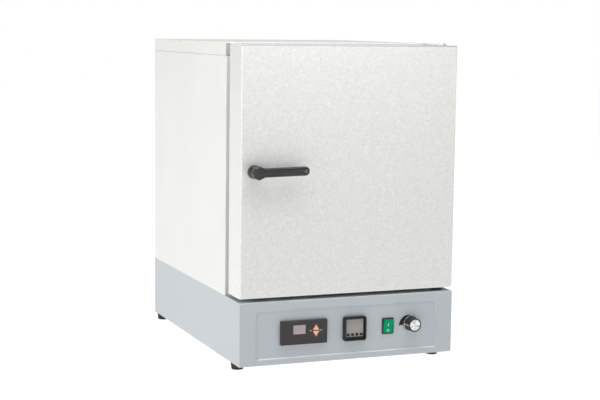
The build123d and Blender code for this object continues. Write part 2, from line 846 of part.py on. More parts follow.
def make_back_panel():
    """Flat back panel between the folded edges of the side panels."""
    reach = half_width - flange_depth - seam_gap
    panel = block(-reach, reach, y_back - sheet, y_back, z_deck, z_split)
    for side in (-1, 1):
        ear = sorted((side * (reach - sheet), side * (half_width - sheet - slip_gap)))
        panel += block(*ear, y_back - 2 * sheet, y_back - sheet, z_deck, z_split - 2 * sheet)
    cut = rod(vent_diameter + 2 * running_gap, 0, z_vent, y_back - 3 * sheet, y_back + overcut)
    return panel - cut


def make_top_cover():
    """Folded top cover with a skirt on all four sides."""
    outer = block(-half_width, half_width, y_face, y_back, z_top - cover_skirt, z_top)
    edges = outer.edges().filter_by(Axis.Z) + outer.faces().sort_by(Axis.Z)[-1].edges()
    outer = fillet(edges, bend_radius)
    inner, z0 = half_width - sheet, z_top - cover_skirt - overcut
    return outer - block(-inner, inner, y_mouth, y_back - sheet, z0, z_top - sheet)


def chamber_mouth(inset=0.0):
    """The outline of the chamber on a front view, drawn in by an inset."""
    width, height = chamber_width - 2 * inset, chamber_height - 2 * inset
    return rounded(width, height, chamber_corner_radius - inset / 2, 0, z_mid_chamber)


def make_front_frame():
    """Front ring between the side panels and the chamber mouth."""
    reach = half_width - flange_depth - seam_gap
    frame = block(-reach, reach, y_face, y_mouth, z_deck, z_split)
    wide = half_width - sheet - slip_gap
    back = block(-wide, wide, y_mouth, y_mouth + sheet, z_deck, z_split - 2 * sheet)
    window = chamber_flange_outline(chamber_flange + chamber_flange_gap)
    frame += back - slab(window, y_mouth - overcut, y_mouth + 2 * sheet)
    return frame - slab(chamber_mouth(), y_face - overcut, y_mouth + sheet)


def chamber_flange_outline(reach):
    """The outline of the chamber's flange, or of the room for it."""
    width, height = chamber_width + 2 * reach, chamber_height + 2 * reach
    return rounded(width, height, chamber_corner_radius, 0, z_mid_chamber)


def make_chamber():
    """Stainless liner of the chamber, open to the front, with a flange behind the front ring."""
    outer = slab(chamber_mouth(-chamber_sheet), y_mouth, y_chamber_back + chamber_sheet)
    outer = fillet(outer.faces().sort_by(Axis.Y)[-1].edges(), chamber_back_radius)
    outer += slab(chamber_flange_outline(chamber_flange), y_mouth, y_mouth + chamber_sheet)
    chamber = outer - slab(chamber_mouth(), y_mouth - overcut, y_chamber_back)
    return chamber - back_passages(y_chamber_back - overcut, y_chamber_back + chamber_sheet + overcut)


def back_passages(y0, y1):
    """The holes for the vent, the heater tails and the probe through the back walls."""
    holes = rod(vent_diameter + 2 * running_gap, 0, z_vent, y0, y1)
    for x in heater_tail_places():
        holes += rod(heater_diameter + 2 * running_gap, x, z_chamber + heater_height, y0, y1)
    return holes + rod(probe_diameter + 2 * running_gap, probe_x, z_chamber_top - probe_drop, y0, y1)


def make_insulation():
    """Mineral wool between the chamber and the cabinet."""
    side = half_width - 3 * sheet
    y1 = y_back - sheet - wiring_space
    wool = block(-side, side, y_mouth + 2 * sheet, y1, z_deck, z_top - 2 * sheet)
    wool -= slab(chamber_mouth(-chamber_sheet), y_mouth, y_chamber_back + chamber_sheet)
    return wool - back_passages(y_chamber_back, y1 + overcut)


def make_vent_pipe():
    """Exhaust tube from the chamber through the back panel, drawn in outside to a spigot for a hose."""
    y0, y1 = y_chamber_back - 2 * chamber_sheet, y_back + vent_reach
    y_step = y_back + vent_collar_thickness
    pipe = rod(vent_diameter, 0, z_vent, y0, y_step) + rod(vent_spigot_diameter, 0, z_vent, y_step, y1)
    pipe -= rod(vent_diameter - 2 * vent_wall, 0, z_vent, y0 - overcut, y_step - vent_wall)
    return pipe - rod(vent_spigot_diameter - 2 * vent_wall, 0, z_vent, y_back, y1 + overcut)


def make_vent_collar():
    """Ring that holds the exhaust tube on the back panel."""
    ring = rod(vent_collar_diameter, 0, z_vent, y_back, y_back + vent_collar_thickness)
    ring = chamfer(rim(ring, Axis.Y, -1), 0.5)
    return ring - rod(vent_diameter + 2 * bearing_clearance, 0, z_vent, y_back - overcut, y_back + vent_reach)


def heater_tail_places():
    """The X places of the two heater tails in the chamber's back wall."""
    reach = (heater_leg_count - 1) / 2 * heater_leg_spacing
    return (-reach, reach)


def make_heater_element():
    """Tubular heater that winds to and fro under the floor plate."""
    z = z_chamber + heater_height
    y1 = y_chamber_back + heater_tail
    y_far = y_chamber_back - heater_end_margin
    y_near = y_mouth + heater_end_margin
    left, right = heater_tail_places()
    points = []
    for i in range(heater_leg_count):
        x = left + i * heater_leg_spacing
        leg = [(x, y_far, z), (x, y_near, z)]
        points += leg if i % 2 == 0 else leg[::-1]
    points[0] = (left, y1, z)
    points[-1] = (right, y1, z)
    path = FilletPolyline(*points, radius=heater_bend_radius)
    start = Plane(origin=points[0], z_dir=(0, -1, 0))
    return sweep(start * Circle(heater_diameter / 2), path=path)


def make_floor_plate():
    """Slotted plate over the heater, with its sides folded down to the chamber floor."""
    half = chamber_width / 2 - floor_plate_side_gap
    y1 = y_chamber_back - floor_plate_back_gap
    y0 = y_mouth + floor_plate_front_gap
    z1 = z_chamber + floor_plate_height
    plate = block(-half, half, y0, y1, z_chamber, z1)
    inner = half - chamber_sheet
    plate -= block(-inner, inner, y0 - overcut, y1 + overcut, z_chamber - overcut, z1 - chamber_sheet)
    middle = (y0 + y1) / 2
    slot = Rot(0, 0, 90) * SlotOverall(floor_slot_length, floor_slot_width)
    slots = [
        Pos((i - (floor_slot_columns - 1) / 2) * floor_slot_pitch_x,
            middle + (j - (floor_slot_rows - 1) / 2) * floor_slot_pitch_y) * slot
        for i in range(floor_slot_columns) for j in range(floor_slot_rows)]
    return plate - extrude(Plane.XY.offset(z1 - 2 * chamber_sheet) * (Sketch() + slots), amount=3 * chamber_sheet)


def rail_top(level):
    """The height of the upper face of one ledge."""
    return z_chamber + rail_first_height + level * rail_pitch


def make_shelf_rail():
    """Right shelf rail: a wall strip with four ledges, each with a raised lip."""
    wall = chamber_width / 2
    y1 = y_chamber_back - rail_back_gap
    y0 = y_mouth + rail_front_gap
    z0 = z_chamber + floor_plate_height + slip_gap
    z1 = z_chamber_top - rail_top_margin
    rail = block(wall - rail_sheet, wall, y0, y1, z0, z1)
    for level in range(rail_count):
        z = rail_top(level)
        rail += block(wall - rail_reach, wall, y0, y1, z - rail_sheet, z)
        rail += block(wall - rail_reach, wall - rail_reach + rail_sheet, y0, y1, z - rail_sheet - rail_lip, z)
    return rail


def make_shelf(level):
    """Wire shelf: a rounded frame of thick wire with a row of thin wires from front to back."""
    half = chamber_width / 2 - rail_sheet - shelf_side_gap - shelf_frame_wire / 2
    y1 = y_chamber_back - shelf_back_gap - shelf_frame_wire / 2
    y0 = y_mouth + shelf_front_gap + shelf_frame_wire / 2
    z = rail_top(level) + running_gap + shelf_frame_wire / 2
    outline = Pos(0, (y0 + y1) / 2, z) * RectangleRounded(2 * half, y1 - y0, shelf_corner_radius)
    path = outline.wire()
    start = Plane(origin=path @ 0, z_dir=path % 0)
    shelf = sweep(start * Circle(shelf_frame_wire / 2), path=path)
    pitch = 2 * half / (shelf_wire_count + 1)
    wires = [rod(shelf_wire, -half + (i + 1) * pitch, z, y0, y1) for i in range(shelf_wire_count)]
    return shelf + wires


def make_temperature_probe():
    """Sheathed probe through the chamber's back wall, with its nut behind the insulation."""
    z = z_chamber_top - probe_drop
    y1 = y_back - sheet - wiring_space
    tip = y_chamber_back - probe_reach
    probe = rod(probe_diameter, probe_x, z, tip, y1 + probe_nut_thickness)
    probe = fillet(rim(probe, Axis.Y, 0), probe_diameter / 2 - 0.1)
    hexagon = Sketch() + Pos(probe_x, z) * RegularPolygon(probe_nut_diameter / 2, 6)
    return probe + slab(hexagon, y1, y1 + probe_nut_thickness)


def make_cover_screws():
    """Pan-head screws in the cover's rear skirt and along the back panel's sides."""
    reach = half_width - flange_depth - seam_gap - screw_inset
    rows = [z_deck + 3 * screw_inset, (z_deck + z_split) / 2, z_split - 3 * screw_inset]
    places = [(s * reach, z) for s in (-1, 1) for z in rows]
    places += [(s * reach, z_top - cover_skirt / 2) for s in (-1, 1)]
    return [Pos(x, y_back, z) * pan_head(1) for x, z in places]


def pan_head(side):
    """A pan head with a cross slot, on a wall at Y 0 that faces back for side 1 and forward for side -1."""
    head = rod(screw_head_diameter, 0, 0, *sorted((0, side * screw_head_height)))
    head = fillet(rim(head, Axis.Y, -1 if side > 0 else 0), screw_head_radius)
    for turn in (0, 90):
        slot = Box(screw_slot_length, 2 * screw_slot_depth, screw_slot_width)
        head -= Pos(0, side * screw_head_height, 0) * Rot(0, turn, 0) * slot
    return head


def make_latch_keeper():
    """Plate on the front ring with a round stud that the latch turns about."""
    plate = slab(rounded(keeper_width, keeper_height, 3, handle_x, z_handle), y_face - keeper_thickness, y_face)
    plate = chamfer(plate.faces().sort_by(Axis.Y)[0].edges(), 0.5)
    stud = rod(stud_diameter, handle_x, z_handle + cam_slot_radius, y_cam() + running_gap, y_face - keeper_thickness)
    return plate + fillet(rim(stud, Axis.Y, 0), 0.8)


# The door

def make_door_skin():
    """Outer pan of the door, open at the back with a folded rim."""
    outer = block(-door_half_width, door_half_width, y_front, y_door_back, z_door_bottom, z_door_top)
    front = outer.faces().sort_by(Axis.Y)[0].edges()
    skin = fillet(front, door_edge_radius)
    skin = fillet(skin.edges().filter_by(Axis.Z).filter_by_position(Axis.Y, y_front + 4, y_door_back), bend_radius)
    inner = door_half_width - sheet
    skin -= block(-inner, inner, y_front + sheet, y_door_back - sheet, z_door_bottom + sheet, z_door_top - sheet)
    fold = liner_inset + liner_rim_lap
    inner = door_half_width - fold
    skin -= block(-inner, inner, y_front + sheet, y_door_back + overcut, z_door_bottom + fold, z_door_top - fold)
    skin -= rod(spindle_bore + 2 * slip_gap, handle_x, z_handle, y_front - overcut, y_front + 2 * sheet)
    bush_hole = bush_diameter + 2 * slip_gap
    return skin - post(bush_hole, hinge_x, hinge_y, z_door_bottom - overcut, z_door_top + overcut)


def make_door_liner():
    """Inner pan of the door, with a raised plug that reaches into the chamber mouth."""
    reach = door_half_width - liner_inset
    z0, z1 = z_door_bottom + liner_inset, z_door_top - liner_inset
    step = block(-reach, reach, y_door_back, y_liner, z0, z1)
    step = fillet(step.edges().filter_by(Axis.Y), liner_corner_radius)
    step -= block(-reach + liner_sheet, reach - liner_sheet, y_door_back - overcut, y_liner - liner_sheet,
                  z0 + liner_sheet, z1 - liner_sheet)
    plug = plug_shape(0, y_liner - liner_sheet, y_face + plug_reach)
    hollow = plug_shape(liner_sheet, y_liner - 2 * liner_sheet, y_face + plug_reach - liner_sheet)
    liner = step + plug - hollow
    return liner - rod(spindle_bore, handle_x, z_handle, y_door_back, y_liner + overcut)


def plug_shape(inset, y0, y1):
    """The tapered plug of the door, drawn in by an inset."""
    width, height = 2 * (plug_half_width - inset), 2 * (plug_half_height - inset)
    near = rounded(width, height, plug_corner_radius, 0, z_mid_chamber)
    far = rounded(width - 2 * plug_draft, height - 2 * plug_draft, plug_corner_radius, 0, z_mid_chamber)
    return loft([front_plane(y0) * near, front_plane(y1) * far])


def make_door_insulation():
    """Mineral wool in the door, with a way for the spindle and pockets for the hinge bushes."""
    inset = liner_inset + wool_gap
    reach = door_half_width - inset
    z0, z1 = z_door_bottom + inset, z_door_top - inset
    wool = block(-reach, reach, y_front + sheet, y_liner - 2 * liner_sheet, z0, z1)
    wool += plug_shape(2 * liner_sheet, y_liner - 2 * liner_sheet, y_face + plug_reach - 2 * liner_sheet)
    wool -= rod(spindle_bore + 2 * wool_clearance, handle_x, z_handle, y_front, y_liner)
    for z in (z0, z1):
        wool -= post(bush_diameter + 2 * wool_clearance, hinge_x, hinge_y, z - bush_length, z + bush_length)
    return wool


def make_door_gasket():
    """Silicone ring round the plug, pressed flat towards the front ring when the door is shut."""
    inner_width = 2 * (plug_half_width + gasket_offset)
    inner_height = 2 * (plug_half_height + gasket_offset)
    outer = rounded(inner_width + 2 * gasket_width, inner_height + 2 * gasket_width,
                    plug_corner_radius + gasket_width, 0, z_mid_chamber)
    ring = outer - rounded(inner_width, inner_height, plug_corner_radius, 0, z_mid_chamber)
    gasket = slab(ring, y_liner, y_face - running_gap)
    return fillet(gasket.faces().sort_by(Axis.Y)[-1].edges(), gasket_edge_radius)


def make_hinge_bush(z_mouth, z_edge, inward):
    """Flanged bush in the door's edge: its flange fills the gap to the bracket but for a running gap."""
    low, high = sorted((z_mouth, z_edge))
    flange = post(bush_flange_diameter, hinge_x, hinge_y, low, high)
    body = post(bush_diameter, hinge_x, hinge_y, *sorted((z_edge, z_edge + inward * bush_length)))
    bore = hinge_pin_diameter + 2 * bearing_clearance
    z0, z1 = sorted((z_mouth - inward * overcut, z_edge + inward * (bush_length + overcut)))
    return flange + body - post(bore, hinge_x, hinge_y, z0, z1)


def make_hinge_bushes():
    """The upper and lower bush."""
    upper = make_hinge_bush(z_top - upper_bracket_thickness - running_gap, z_door_top, -1)
    lower = make_hinge_bush(z_deck + lower_bracket_thickness + running_gap, z_door_bottom, 1)
    return [upper, lower]


def make_upper_hinge_bracket():
    """Angle bracket on the cover's front skirt, with a tongue that reaches over the door to the pivot pin."""
    half = upper_bracket_width / 2
    z0 = z_top - upper_bracket_thickness
    y_flange = y_face - upper_bracket_thickness
    outline = tongue_outline(upper_bracket_width, y_face)
    plate = extrude(Plane.XY.offset(z0) * outline, amount=upper_bracket_thickness)
    plate += block(hinge_x - half, hinge_x + half, y_flange, y_face, z_top - upper_bracket_drop, z_top)
    bend = plate.edges().filter_by(Axis.X).group_by(Axis.Y)[-1].sort_by(Axis.Z)[-1]
    plate = fillet(bend, upper_bracket_thickness)
    return plate - post(hinge_pin_diameter, hinge_x, hinge_y, z0 - overcut, z_top + overcut)


def make_lower_hinge_bracket():
    """Plate screwed on the deck that reaches under the door."""
    outline = tongue_outline(lower_bracket_width, y_face - slip_gap)
    plate = extrude(Plane.XY.offset(z_deck) * outline, amount=lower_bracket_thickness)
    return plate - post(hinge_pin_diameter, hinge_x, hinge_y, z_deck - overcut,
                        z_deck + lower_bracket_thickness + overcut)


def tongue_outline(width, y_end):
    """A tongue seen from above: round about the pivot and square at its end."""
    tail = Pos(hinge_x, (hinge_y + y_end) / 2) * Rectangle(width, y_end - hinge_y)
    return Pos(hinge_x, hinge_y) * Circle(width / 2) + tail


def make_hinge_pins():
    """The upper pin with its head on the bracket, and the lower pin set flush in its bracket."""
    head = post(hinge_pin_head_diameter, hinge_x, hinge_y, z_top, z_top + hinge_pin_head_height)
    head = fillet(rim(head, Axis.Z, -1), hinge_pin_head_radius)
    upper = post(hinge_pin_diameter, hinge_x, hinge_y, z_door_top - hinge_pin_reach, z_top)
    upper = head + chamfer(rim(upper, Axis.Z, 0), hinge_pin_chamfer)
    lower = post(hinge_pin_diameter, hinge_x, hinge_y, z_deck, z_door_bottom + hinge_pin_reach)
    return [upper, chamfer(rim(lower, Axis.Z, -1), hinge_pin_chamfer)]


def make_bracket_screws():
    """Two pan-head screws that hold the upper bracket on the cover's skirt."""
    heights = [z_top - bracket_screw_drop - i * bracket_screw_spacing for i in (0, 1)]
    return [Pos(hinge_x, y_face - upper_bracket_thickness, z) * pan_head(-1) for z in heights]


# The handle

def make_handle_rose():
    """Domed round boss under the handle on the door's face."""
    rose = rod(rose_diameter, handle_x, z_handle, y_front - rose_thickness, y_front)
    rose = fillet(rim(rose, Axis.Y, 0), rose_edge_radius)
    return rose - rod(spindle_bore, handle_x, z_handle, y_front - rose_thickness - overcut, y_front + overcut)


def make_handle_lever():
    """Lever with a faceted hub, a short round neck and an arm with a rounded end."""
    y_neck = y_front - rose_thickness - running_gap
    y_arm_back = y_handle + lever_setback + lever_thickness
    neck = rod(neck_diameter, 0, 0, y_arm_back, y_neck)
    y_bevel = y_handle + hub_bevel
    y_hub_back = y_arm_back + hub_back_reach
    facets = hub_outline(hub_diameter / 2)
    hub = slab(Sketch() + facets, y_bevel, y_hub_back)
    nose = front_plane(y_handle) * hub_outline(hub_diameter / 2 - hub_bevel_inset)
    hub += loft([front_plane(y_bevel) * facets, nose])
    taper = front_plane(y_hub_back + hub_back_taper) * hub_outline(neck_diameter / 2)
    hub += loft([front_plane(y_hub_back) * facets, taper])
    bar = SlotCenterToCenter(lever_length - lever_height / 2, lever_height)
    bar = Pos((lever_length - lever_height / 2) / 2, 0) * bar
    arm = slab(Sketch() + bar, y_handle + lever_setback, y_arm_back)
    faces = arm.faces().sort_by(Axis.Y)
    arm = fillet(faces[0].edges() + faces[-1].edges(), lever_edge_radius)
    lever = neck + hub + arm
    lever -= rod(spindle_width, 0, 0, y_front - rose_thickness - spindle_grip(), y_neck + overcut)
    y_screw = y_handle + lever_setback
    lever -= rod(end_screw_diameter + 2 * slip_gap, lever_length - end_screw_inset, 0, y_screw - overcut,
                 y_screw + 2 * end_screw_depth)
    return Pos(handle_x, 0, z_handle) * Rot(0, -lever_tilt, 0) * lever


def hub_outline(radius):
    """The faceted outline of the lever's hub, with one corner down."""
    return RegularPolygon(radius, hub_facets, rotation=90)


def spindle_grip():
    """How far the spindle reaches into the lever past the rose."""
    return handle_reach - rose_thickness - lever_setback - lever_thickness / 2


def make_handle_spindle():
    """Spindle from the lever through the door to the latch."""
    y0 = y_front - rose_thickness - spindle_grip()
    return rod(spindle_width, handle_x, z_handle, y0, y_cam() + cam_thickness)


def make_handle_screw():
    """Small screw near the lever's end."""
    y_screw = y_handle + lever_setback
    screw = rod(end_screw_diameter, 0, 0, y_screw + end_screw_depth / 2, y_screw + 2 * end_screw_depth)
    slot = Box(screw_slot_length, end_screw_depth, screw_slot_width)
    for turn in (-45, 45):
        screw -= Pos(0, y_screw + end_screw_depth / 2, 0) * Rot(0, turn, 0) * slot
    place = Pos(handle_x, 0, z_handle) * Rot(0, -lever_tilt, 0) * Pos(lever_length - end_screw_inset, 0, 0)
    return place * screw


def y_cam():
    """The depth of the latch cam's front face."""
    return y_liner + cam_stand_off


def make_latch_cam():
    """Cam on the spindle's end, with a round slot that runs past the keeper's stud."""
    slot_end = degrees(asin(cam_slot_half / cam_slot_radius))
    plate_end = slot_end + cam_end_wall
    plate = Circle(cam_rim_radius) & cam_sector(90 - plate_end, lever_turn + 2 * plate_end)
    slot = Circle(cam_slot_radius + cam_slot_half) - Circle(cam_slot_radius - cam_slot_half)
    slot &= cam_sector(90 - slot_end, lever_turn + 2 * slot_end)
    cam = plate - slot + Circle(cam_slot_radius - cam_slot_half)
    cam = slab(Pos(handle_x, z_handle) * cam, y_cam(), y_cam() + cam_thickness)
    return cam - rod(spindle_width, handle_x, z_handle, y_cam() - overcut, y_cam() + cam_thickness + overcut)


def cam_sector(start, spread):
    """A pie slice that reaches past the cam's rim."""
    far = 2 * cam_rim_radius
    points = [(0, 0)]
    for i in range(cam_sector_steps + 1):
        angle = radians(start + i * spread / cam_sector_steps)
        points.append((far * cos(angle), far * sin(angle)))
    return make_face(Polyline(*points, close=True))


os.makedirs("parts", exist_ok=True)

save("base_tray", make_base_tray())
save("base_deck", make_base_deck())
save("control_panel", make_control_panel())
save("feet", make_feet())
save("foot_screws", make_foot_screws())
save("timer_bezel", make_timer_bezel())
save("timer_window", make_timer_window())
save("timer_case", make_timer_case())
save("timer_up_key", make_timer_key(1))
save("timer_down_key", make_timer_key(-1))
save("controller_bezel", make_controller_bezel())
save("controller_screen", make_controller_screen())
save("controller_case", make_controller_case())
for number in range(controller_key_count):
    save(f"controller_key_{number + 1}", make_controller_key(number))
save("switch_body", make_switch_body())
save("switch_rocker", make_switch_rocker())
save("knob_body", make_knob())
save("knob_cap", make_knob_cap())
save("limiter_shaft", make_limiter_shaft())
save("limiter_thermostat", make_limiter_thermostat())
save("limiter_nut", make_limiter_nut())
save("solid_state_relay", make_solid_state_relay())
save("terminal_block", make_terminal_block())
save("power_inlet", make_power_inlet())
save("fuse_holder", make_fuse_holder())
save("side_panel_right", make_side_panel())
save("side_panel_left", mirrored(make_side_panel()))
save("back_panel", make_back_panel())
save("top_cover", make_top_cover())
save("front_frame", make_front_frame())
save("chamber", make_chamber())
save("insulation", make_insulation())
save("vent_pipe", make_vent_pipe())
save("vent_collar", make_vent_collar())
save("heater_element", make_heater_element())
save("floor_plate", make_floor_plate())
save("shelf_rail_right", make_shelf_rail())
save("shelf_rail_left", mirrored(make_shelf_rail()))
save("lower_shelf", make_shelf(lower_shelf_level))
save("upper_shelf", make_shelf(upper_shelf_level))
save("temperature_probe", make_temperature_probe())
save("cover_screws", make_cover_screws())
save("latch_keeper", make_latch_keeper())
save("upper_hinge_bracket", make_upper_hinge_bracket())
save("lower_hinge_bracket", make_lower_hinge_bracket())
save("hinge_pins", make_hinge_pins())
save("bracket_screws", make_bracket_screws())
save("door_skin", make_door_skin())
save("door_liner", make_door_liner())
save("door_insulation", make_door_insulation())
save("door_gasket", make_door_gasket())
save("hinge_bushes", make_hinge_bushes())
save("handle_rose", make_handle_rose())
save("handle_lever", make_handle_lever())
save("handle_spindle", make_handle_spindle())
save("handle_screw", make_handle_screw())
save("latch_cam", make_latch_cam())
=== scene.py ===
"""Finishes, printed marks and studio for a bench-top drying oven, around its fixed frame."""

import json
import math

import bmesh
import bpy
from mathutils import Matrix, Vector


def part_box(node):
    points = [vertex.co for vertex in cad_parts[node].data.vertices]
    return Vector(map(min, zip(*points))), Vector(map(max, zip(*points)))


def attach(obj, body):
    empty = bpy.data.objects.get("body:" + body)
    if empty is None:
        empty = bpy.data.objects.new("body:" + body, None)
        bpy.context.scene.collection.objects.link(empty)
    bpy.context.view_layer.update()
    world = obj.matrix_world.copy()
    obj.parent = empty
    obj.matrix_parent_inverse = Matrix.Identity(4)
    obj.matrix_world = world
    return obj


bl_info = {
    "name": "Drying oven finish",
    "version": (1, 0, 0),
    "blender": (4, 5, 0),
    "location": "View3D > Sidebar > Oven",
    "description": "Gives a bench-top drying oven its paints, metals, marks and studio",
    "category": "Object",
}

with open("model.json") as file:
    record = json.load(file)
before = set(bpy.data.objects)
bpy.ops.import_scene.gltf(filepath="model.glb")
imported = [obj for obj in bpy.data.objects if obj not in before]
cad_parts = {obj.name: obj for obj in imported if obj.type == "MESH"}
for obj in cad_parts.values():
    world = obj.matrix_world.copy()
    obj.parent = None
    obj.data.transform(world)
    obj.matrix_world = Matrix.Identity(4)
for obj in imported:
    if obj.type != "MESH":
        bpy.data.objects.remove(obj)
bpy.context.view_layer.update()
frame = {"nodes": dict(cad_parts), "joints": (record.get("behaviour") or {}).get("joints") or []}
joints = {joint["name"]: joint for joint in frame["joints"]}

MM = 0.001

# Nodes that share one finish
WHITE_NODES = ("side_panel_left", "side_panel_right", "back_panel", "upper_hinge_bracket")
GREY_NODES = ("base_deck", "base_tray")
STEEL_NODES = ("front_frame", "chamber", "door_liner", "floor_plate", "shelf_rail_left", "shelf_rail_right",
               "vent_pipe", "vent_collar", "temperature_probe")
WIRE_NODES = ("lower_shelf", "upper_shelf")
ZINC_NODES = ("foot_screws", "cover_screws", "limiter_shaft", "limiter_nut", "handle_spindle", "latch_keeper",
              "latch_cam")
BRIGHT_ZINC_NODES = ("bracket_screws", "hinge_pins")
WOOL_NODES = ("insulation", "door_insulation")
SATIN_NODES = ("handle_lever", "handle_rose")
GRAINED_NODES = ("knob_body", "switch_body", "timer_case", "controller_case", "power_inlet", "fuse_holder",
                 "solid_state_relay", "terminal_block", "limiter_thermostat")
GLOSSY_NODES = ("controller_bezel", "controller_key_1", "controller_key_2", "controller_key_3", "controller_key_4")
KEY_NODES = ("timer_up_key", "timer_down_key")

# Painted shade on the cover's upright front corners and the door's top front edge, a painted highlight on the
# recess's lower edge, and the edges of small parts
COVER_GAP_SHADE = (0.46, 0.46, 0.45)
DOOR_EDGE_SHADE = (0.46, 0.47, 0.47)
RECESS_EDGE_HIGHLIGHT = (0.93, 0.95, 0.97)
DISC_RIM = (0.03, 0.03, 0.03)
KEY_RUST = (0.30, 0.07, 0.03)

# Grain of the sprayed paints, in features per metre
WHITE_GRAIN, GREY_GRAIN = 420.0, 520.0

# Left edge of the control panel's recess, and the height of its lower edge over the panel's own
RECESS_LEFT, RECESS_RISE = -0.190, 0.0125

# Where the timer's tinted filter ends, as a share of the face's width
FILTER_SHARE = 0.635

# Limiter scale: the angle of its broad end, how far it runs from there, and its divisions
SCALE_FROM, SCALE_SWEEP, SCALE_STEPS = math.radians(187.0), math.radians(101.0), 40

# Knob: the low collar that the trim ring lies on, and where the pointer's line and foot stand from the axis
COLLAR = 2.6 * MM
POINTER_LINE, POINTER_FOOT = -14.0 * MM, -14.9 * MM

# Rocker at rest: its tilt, the slope of each half of its face, and the face's distance from the pivot
ROCKER_TILT, ROCKER_SLOPE, ROCKER_FACE = math.radians(10.0), 0.18, 3.6 * MM
ON_MARK_HEIGHT, OFF_MARK_HEIGHT = 3.6 * MM, -8.0 * MM

# Clear gap round a timer key. The corners of its outline reach further out than the outline's width and this gap,
# by these factors
KEY_GAP = 0.5 * MM
OUTER_REACH, INNER_REACH = 2.3, 1.6

# Each half of the timer's white line starts this far from the middle of the keys
LINE_GAP = 8.4 * MM

# Soft lights: name, place, aim, width and height, and the setting that holds the watts
LIGHTS = (
    ("side_softbox", (-3.4, -0.6, 1.1), (-0.2, -0.1, 0.4), (2.4, 2.4), "side_light"),
    ("front_softbox", (-0.06, -0.62, 0.95), (-0.02, -0.3, 0.5), (0.9, 0.3), "front_light"),
    ("top_softbox", (0.0, 0.1, 2.8), (0.0, 0.0, 0.6), (3.4, 3.4), "top_light"),
)


# Settings

def colour(name, description, default):
    """A colour that a user can change."""
    return bpy.props.FloatVectorProperty(
        name=name, description=description, subtype="COLOR", size=3, min=0.0, max=1.0, default=default)


def length(name, description, default):
    """A length that a user can change."""
    return bpy.props.FloatProperty(name=name, description=description, default=default, unit="LENGTH", precision=5)


def angle(name, description, default):
    """An angle that a user can change."""
    return bpy.props.FloatProperty(name=name, description=description, default=default, subtype="ANGLE")


def amount(name, description, default):
    """A plain number that a user can change."""
    return bpy.props.FloatProperty(name=name, description=description, default=default)


class OvenPaints(bpy.types.PropertyGroup):
    """Colours of the paints, plastics and metals."""
    white: colour("Cabinet white", "Powder coat of the cabinet", (0.84, 0.845, 0.815))
    door_light: colour("Door light", "Raised spots of the hammered door paint", (0.885, 0.89, 0.86))
    door_dark: colour("Door dark", "Hollows of the hammered door paint", (0.72, 0.725, 0.70))
    grey: colour("Base grey", "Paint of the instrument base", (0.535, 0.577, 0.61))
    steel: colour("Stainless", "Chamber and inner pan of the door", (0.62, 0.62, 0.60))
    black: colour("Black plastic", "Lever, knob and housings", (0.026, 0.026, 0.027))
    rocker: colour("Rocker green", "Rocker of the mains switch", (0.001, 0.345, 0.153))
    key: colour("Key peach", "Triangular keys of the timer", (0.86, 0.56, 0.40))
    timer: colour("Timer face", "Face of the timer", (0.040, 0.037, 0.041))
    pane: colour("Display pane", "Unlit display of the timer behind its tinted window", (0.42, 0.35, 0.36))
    screen: colour("Screen", "Unlit screen of the controller", (0.335, 0.31, 0.30))


class OvenMarks(bpy.types.PropertyGroup):
    """Sizes of the printed and applied marks."""
    film: length("Film", "Thickness of a printed mark", 0.12 * MM)
    scale_inner: length("Scale inner radius", "Inner edge of the limiter's printed scale", 15.0 * MM)
    scale_start: length("Scale broad end", "Outer edge of the scale at its broad end", 25.8 * MM)
    scale_end: length("Scale thin end", "Outer edge of the scale at its thin end", 15.6 * MM)
    line_width: length("Line width", "Width of the white line on the timer", 0.9 * MM)
    line_length: length("Line length", "Length of the white line on the timer", 27.0 * MM)
    outline: length("Key outline", "Width of the dark outline round each timer key", 1.1 * MM)


class OvenStudio(bpy.types.PropertyGroup):
    """Camera and lights."""
    lens: bpy.props.FloatProperty(
        name="Lens", description="Focal length on a 36 mm wide frame", default=87.58, unit="CAMERA")
    camera_place: bpy.props.FloatVectorProperty(
        name="Camera place", description="Where the camera stands", size=3, subtype="TRANSLATION", unit="LENGTH",
        default=(-1.1227, -2.8653, 0.66335))
    yaw: angle("Yaw", "Turn of the view to the right", 0.3773)
    pitch: angle("Pitch", "Tilt of the view downwards", 0.1191)
    roll: angle("Roll", "Roll of the view", 0.0118)
    side_light: amount("Side light", "Watts of the soft light on the left", 40.5)
    front_light: amount("Front light", "Watts of the soft light high in front", 2.1)
    top_light: amount("Top light", "Watts of the soft light above", 58.0)
    sky: amount("Sky", "Strength of the light all round", 0.205)
    glow: amount("Floor glow", "Light that the pale floor gives by itself", 0.94)


# Materials

